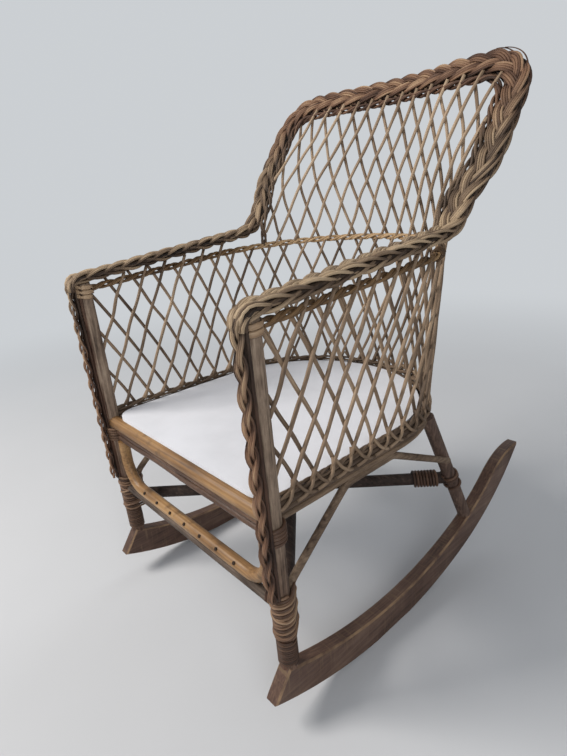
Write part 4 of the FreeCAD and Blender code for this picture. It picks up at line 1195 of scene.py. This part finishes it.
def bindings():
    cane = willow_finish("binding_cane", CANE_STOPS, roughness=0.5)
    foot = Weave("foot_bindings", seed=51)
    chance = foot.chance
    line = wrap(post_and_arch, FOOT_BINDING_Z, FOOT_BINDING_TURNS, CANE, FOOT_BINDING_STEP, chance,
                **FOOT_LEAN)
    lay_both(foot, line, FOOT_CANE, mottled(*FOOT_TONES, line))
    for level, tilt, tilt_way in FOOT_LOOPS:
        line = wrap(post_and_arch, level, LOOP_TURNS, CANE + LOOP_PROUD, LOOP_RISE, chance,
                    tilt=tilt, tilt_way=tilt_way, start_turn=LOOP_START)
        lay_both(foot, line, FOOT_CANE, even(chance.uniform(*LOOP_TONES), line))
    foot.make(cane, "cane", "binding_foot_left", "binding_foot_right")

    corner = Weave("corner_bindings", seed=52)
    line = wrap(post_circle, CORNER_BINDING_Z, CORNER_BINDING_TURNS, CANE, CORNER_STEP, corner.chance,
                **CORNER_LEAN)
    lay_both(corner, line, CANE * SNUG, even(CORNER_TONE, line))
    corner.make(cane, "cane", "binding_corner_left", "binding_corner_right")

    head = Weave("head_bindings", seed=53)
    line = wrap(post_circle, RING_Z, RING_TURNS, RING_THICKNESS, RING_STEP, head.chance,
                start_turn=RING_START)
    lay_both(head, line, RING_THICKNESS, even(RING_TONE, line), flat=RING_FLATNESS,
             flat_ways=[(point - post_axis(point.z)).normalized() for point in line])
    head.make(cane, "cane", "binding_head_left", "binding_head_right")

    fine = Weave("fine_bindings", seed=54)
    low = FINE_TOP_Z - (FINE_TURNS - 1) * FINE_STEP
    line = wrap(post_circle, low, FINE_TURNS, FINE_CANE, FINE_STEP, fine.chance)
    lay_both(fine, line, FINE_CANE * SNUG, mottled(*FINE_TONES, line))
    fine.make(cane, "cane", "binding_fine_left", "binding_fine_right")

    cross = Weave("cross_bindings", seed=55)
    leg_way = (LEG_FOOT - LEG_HEAD).normalized()
    for sign in (1, -1):
        drop = 0 if sign > 0 else CROSS_DROP
        rear = leg_axis(CROSS_REAR_Z - drop)
        front = mirrored([post_axis(CROSS_FRONT_Z - drop)])[0]
        way = (front - rear).normalized()
        start = rear + way * (2 * POLE_RADIUS)
        lines = [coil(start, way, CROSS_RADIUS + CROSS_CLEARANCE + CANE / 2, CROSS_TURNS, CANE_STEP)]
        for down, turns in LEG_LOOPS:
            lines.append(coil(rear + leg_way * down, leg_way, POLE_RADIUS + CANE / 2, turns, CANE_STEP))
        for line in lines:
            line = line if sign > 0 else mirrored(line)
            cross.lay(line, even(CANE, line), mottled(*CROSS_TONES, line))
    cross.make(cane, "cane", "binding_cross_left", "binding_cross_right")


# Finishes of the pieces that keep their solid shape

def finish_solids():
    upright = pole_finish("post_bark", BARK_STOPS, 2, worn=WORN_STOPS)
    lengthways = pole_finish("stretcher_bark", GREY_STOPS, 0)
    leg = pole_finish("leg_bark", LEG_STOPS, 2)
    arch = pole_finish("arch_bark", ARCH_STOPS, 1)
    rattan = rattan_finish("peeled_rattan")
    board = board_finish("stained_board")
    # Cross stretchers: bark with painted shade from the seat above.
    cross_left = pole_finish("cross_shaded_bark_left", CROSS_SHADED_STOPS, 0, turn=(0, 0, math.radians(-45)))
    cross_right = pole_finish("cross_shaded_bark_right", CROSS_SHADED_STOPS, 0, turn=(0, 0, math.radians(45)))
    finishes = {
        "rocker_left": board, "rocker_right": board,
        "front_post_left": upright, "front_post_right": upright,
        "rear_leg_left": leg, "rear_leg_right": leg,
        "cross_stretcher_left": cross_left, "cross_stretcher_right": cross_right,
        "front_stretcher": lengthways, "rear_bow": lengthways,
        "side_arch_left": arch, "side_arch_right": arch,
        "seat_front_rail": rattan, "front_bow": rattan, "seat_ledge": arch,
        "bow_nails": nail_finish("dark_nail"), "seat_panel": panel_finish("white_board"),
    }
    for name, finish in finishes.items():
        for place in nodes[name].material_slots:
            place.material = finish


# Floor, light and camera

# Places and sizes here are in metres
FLOOR_SIZE = 60
FLOOR_SIDES = 96
FLOOR_CLOUDING = 0.95
FLOOR_COLOUR = (0.60, 0.605, 0.62)
SKY_COLOUR = (0.60, 0.625, 0.65)
SKY_STRENGTH = 0.5
FADE_START = 0.6
FADE_END = 3.2


def pale_floor():
    """Pale floor; for the camera alone it fades into the backdrop."""
    bpy.ops.mesh.primitive_circle_add(vertices=FLOOR_SIDES, radius=FLOOR_SIZE / 2, fill_type="NGON")
    floor = bpy.context.object
    floor.name = "floor"
    material, tree, shader = new_finish("pale_floor", roughness=0.85, specular=0.1)
    place = object_place(tree)
    cloud = noise(tree, place, scale=1.4, detail=3)
    darker = tuple(FLOOR_CLOUDING * part for part in FLOOR_COLOUR)
    paint(tree, shader, colours(tree, cloud, list(zip(NOISE_BAND, (darker, FLOOR_COLOUR)))))
    distance = add_node(tree, "ShaderNodeVectorMath", {0: place}, operation="LENGTH").outputs["Value"]
    fade = {"Value": distance, "From Min": FADE_START, "From Max": FADE_END}
    far = add_node(tree, "ShaderNodeMapRange", fade, interpolation_type="SMOOTHSTEP").outputs["Result"]
    seen = add_node(tree, "ShaderNodeLightPath").outputs["Is Camera Ray"]
    backdrop = add_node(tree, "ShaderNodeEmission", {"Color": (*SKY_COLOUR, 1)})
    share = combined(tree, far, seen, "MULTIPLY")
    values = {0: share, 1: shader.outputs["BSDF"], 2: backdrop.outputs["Emission"]}
    mix = add_node(tree, "ShaderNodeMixShader", values)
    tree.links.new(mix.outputs["Shader"], tree.nodes["Material Output"].inputs["Surface"])
    floor.data.materials.append(material)


def backdrop_sky():
    """Even pale backdrop: full colour to the camera, softer as a light."""
    world = bpy.data.worlds.new("studio")
    bpy.context.scene.world = world
    world.use_nodes = True
    tree = world.node_tree
    sky = tree.nodes["Background"]
    sky.inputs["Color"].default_value = (*SKY_COLOUR, 1)
    seen = add_node(tree, "ShaderNodeLightPath").outputs["Is Camera Ray"]
    tree.links.new(from_to(tree, seen, 0, 1, SKY_STRENGTH, 1), sky.inputs["Strength"])


# Name, place, aim, power, size and colour of each lamp
LAMPS = (
    ("key", (-1.3, -2.0, 2.4), (0, 0, 0.45), 84, 1.1, (1, 0.965, 0.92)),
    ("fill", (2.4, -1.4, 1.7), (0, 0, 0.5), 32, 1.6, (0.94, 0.97, 1)),
    ("rim", (-0.8, 2.4, 2.4), (0, 0, 0.6), 14, 1.8, (0.95, 0.97, 1)),
)


def lamps():
    for name, place, target, power, size, colour in LAMPS:
        lamp = bpy.data.lights.new(name, "AREA")
        lamp.energy = power
        lamp.size = size
        lamp.color = colour
        holder = bpy.data.objects.new(name, lamp)
        holder.location = place
        holder.rotation_euler = (Vector(target) - Vector(place)).to_track_quat("-Z", "Y").to_euler()
        bpy.context.scene.collection.objects.link(holder)


CAMERA_PLACE = Vector((0.7216, -0.6107, 0.7841))
CAMERA_YAW = math.radians(49.659)
CAMERA_PITCH = math.radians(19.846)
CAMERA_ROLL = math.radians(4.6)
CAMERA_LENS = 24.29


def photo_camera():
    ahead = Vector((-math.sin(CAMERA_YAW) * math.cos(CAMERA_PITCH),
                    math.cos(CAMERA_YAW) * math.cos(CAMERA_PITCH), -math.sin(CAMERA_PITCH)))
    level = Vector((math.cos(CAMERA_YAW), math.sin(CAMERA_YAW), 0))
    plumb = ahead.cross(level)
    right = level * math.cos(CAMERA_ROLL) + plumb * math.sin(CAMERA_ROLL)
    down = plumb * math.cos(CAMERA_ROLL) - level * math.sin(CAMERA_ROLL)
    data = bpy.data.cameras.new("photo_camera")
    data.lens = CAMERA_LENS
    camera = bpy.data.objects.new("photo_camera", data)
    turn = Matrix((right, -down, -ahead)).transposed().to_4x4()
    camera.matrix_world = Matrix.Translation(CAMERA_PLACE) @ turn
    bpy.context.scene.collection.objects.link(camera)
    bpy.context.scene.camera = camera


plaited_border()
wales()
lattices()
seat_rows()
bindings()
finish_solids()
pale_floor()
backdrop_sky()
lamps()
photo_camera()
bpy.context.scene.view_settings.view_transform = "Standard"
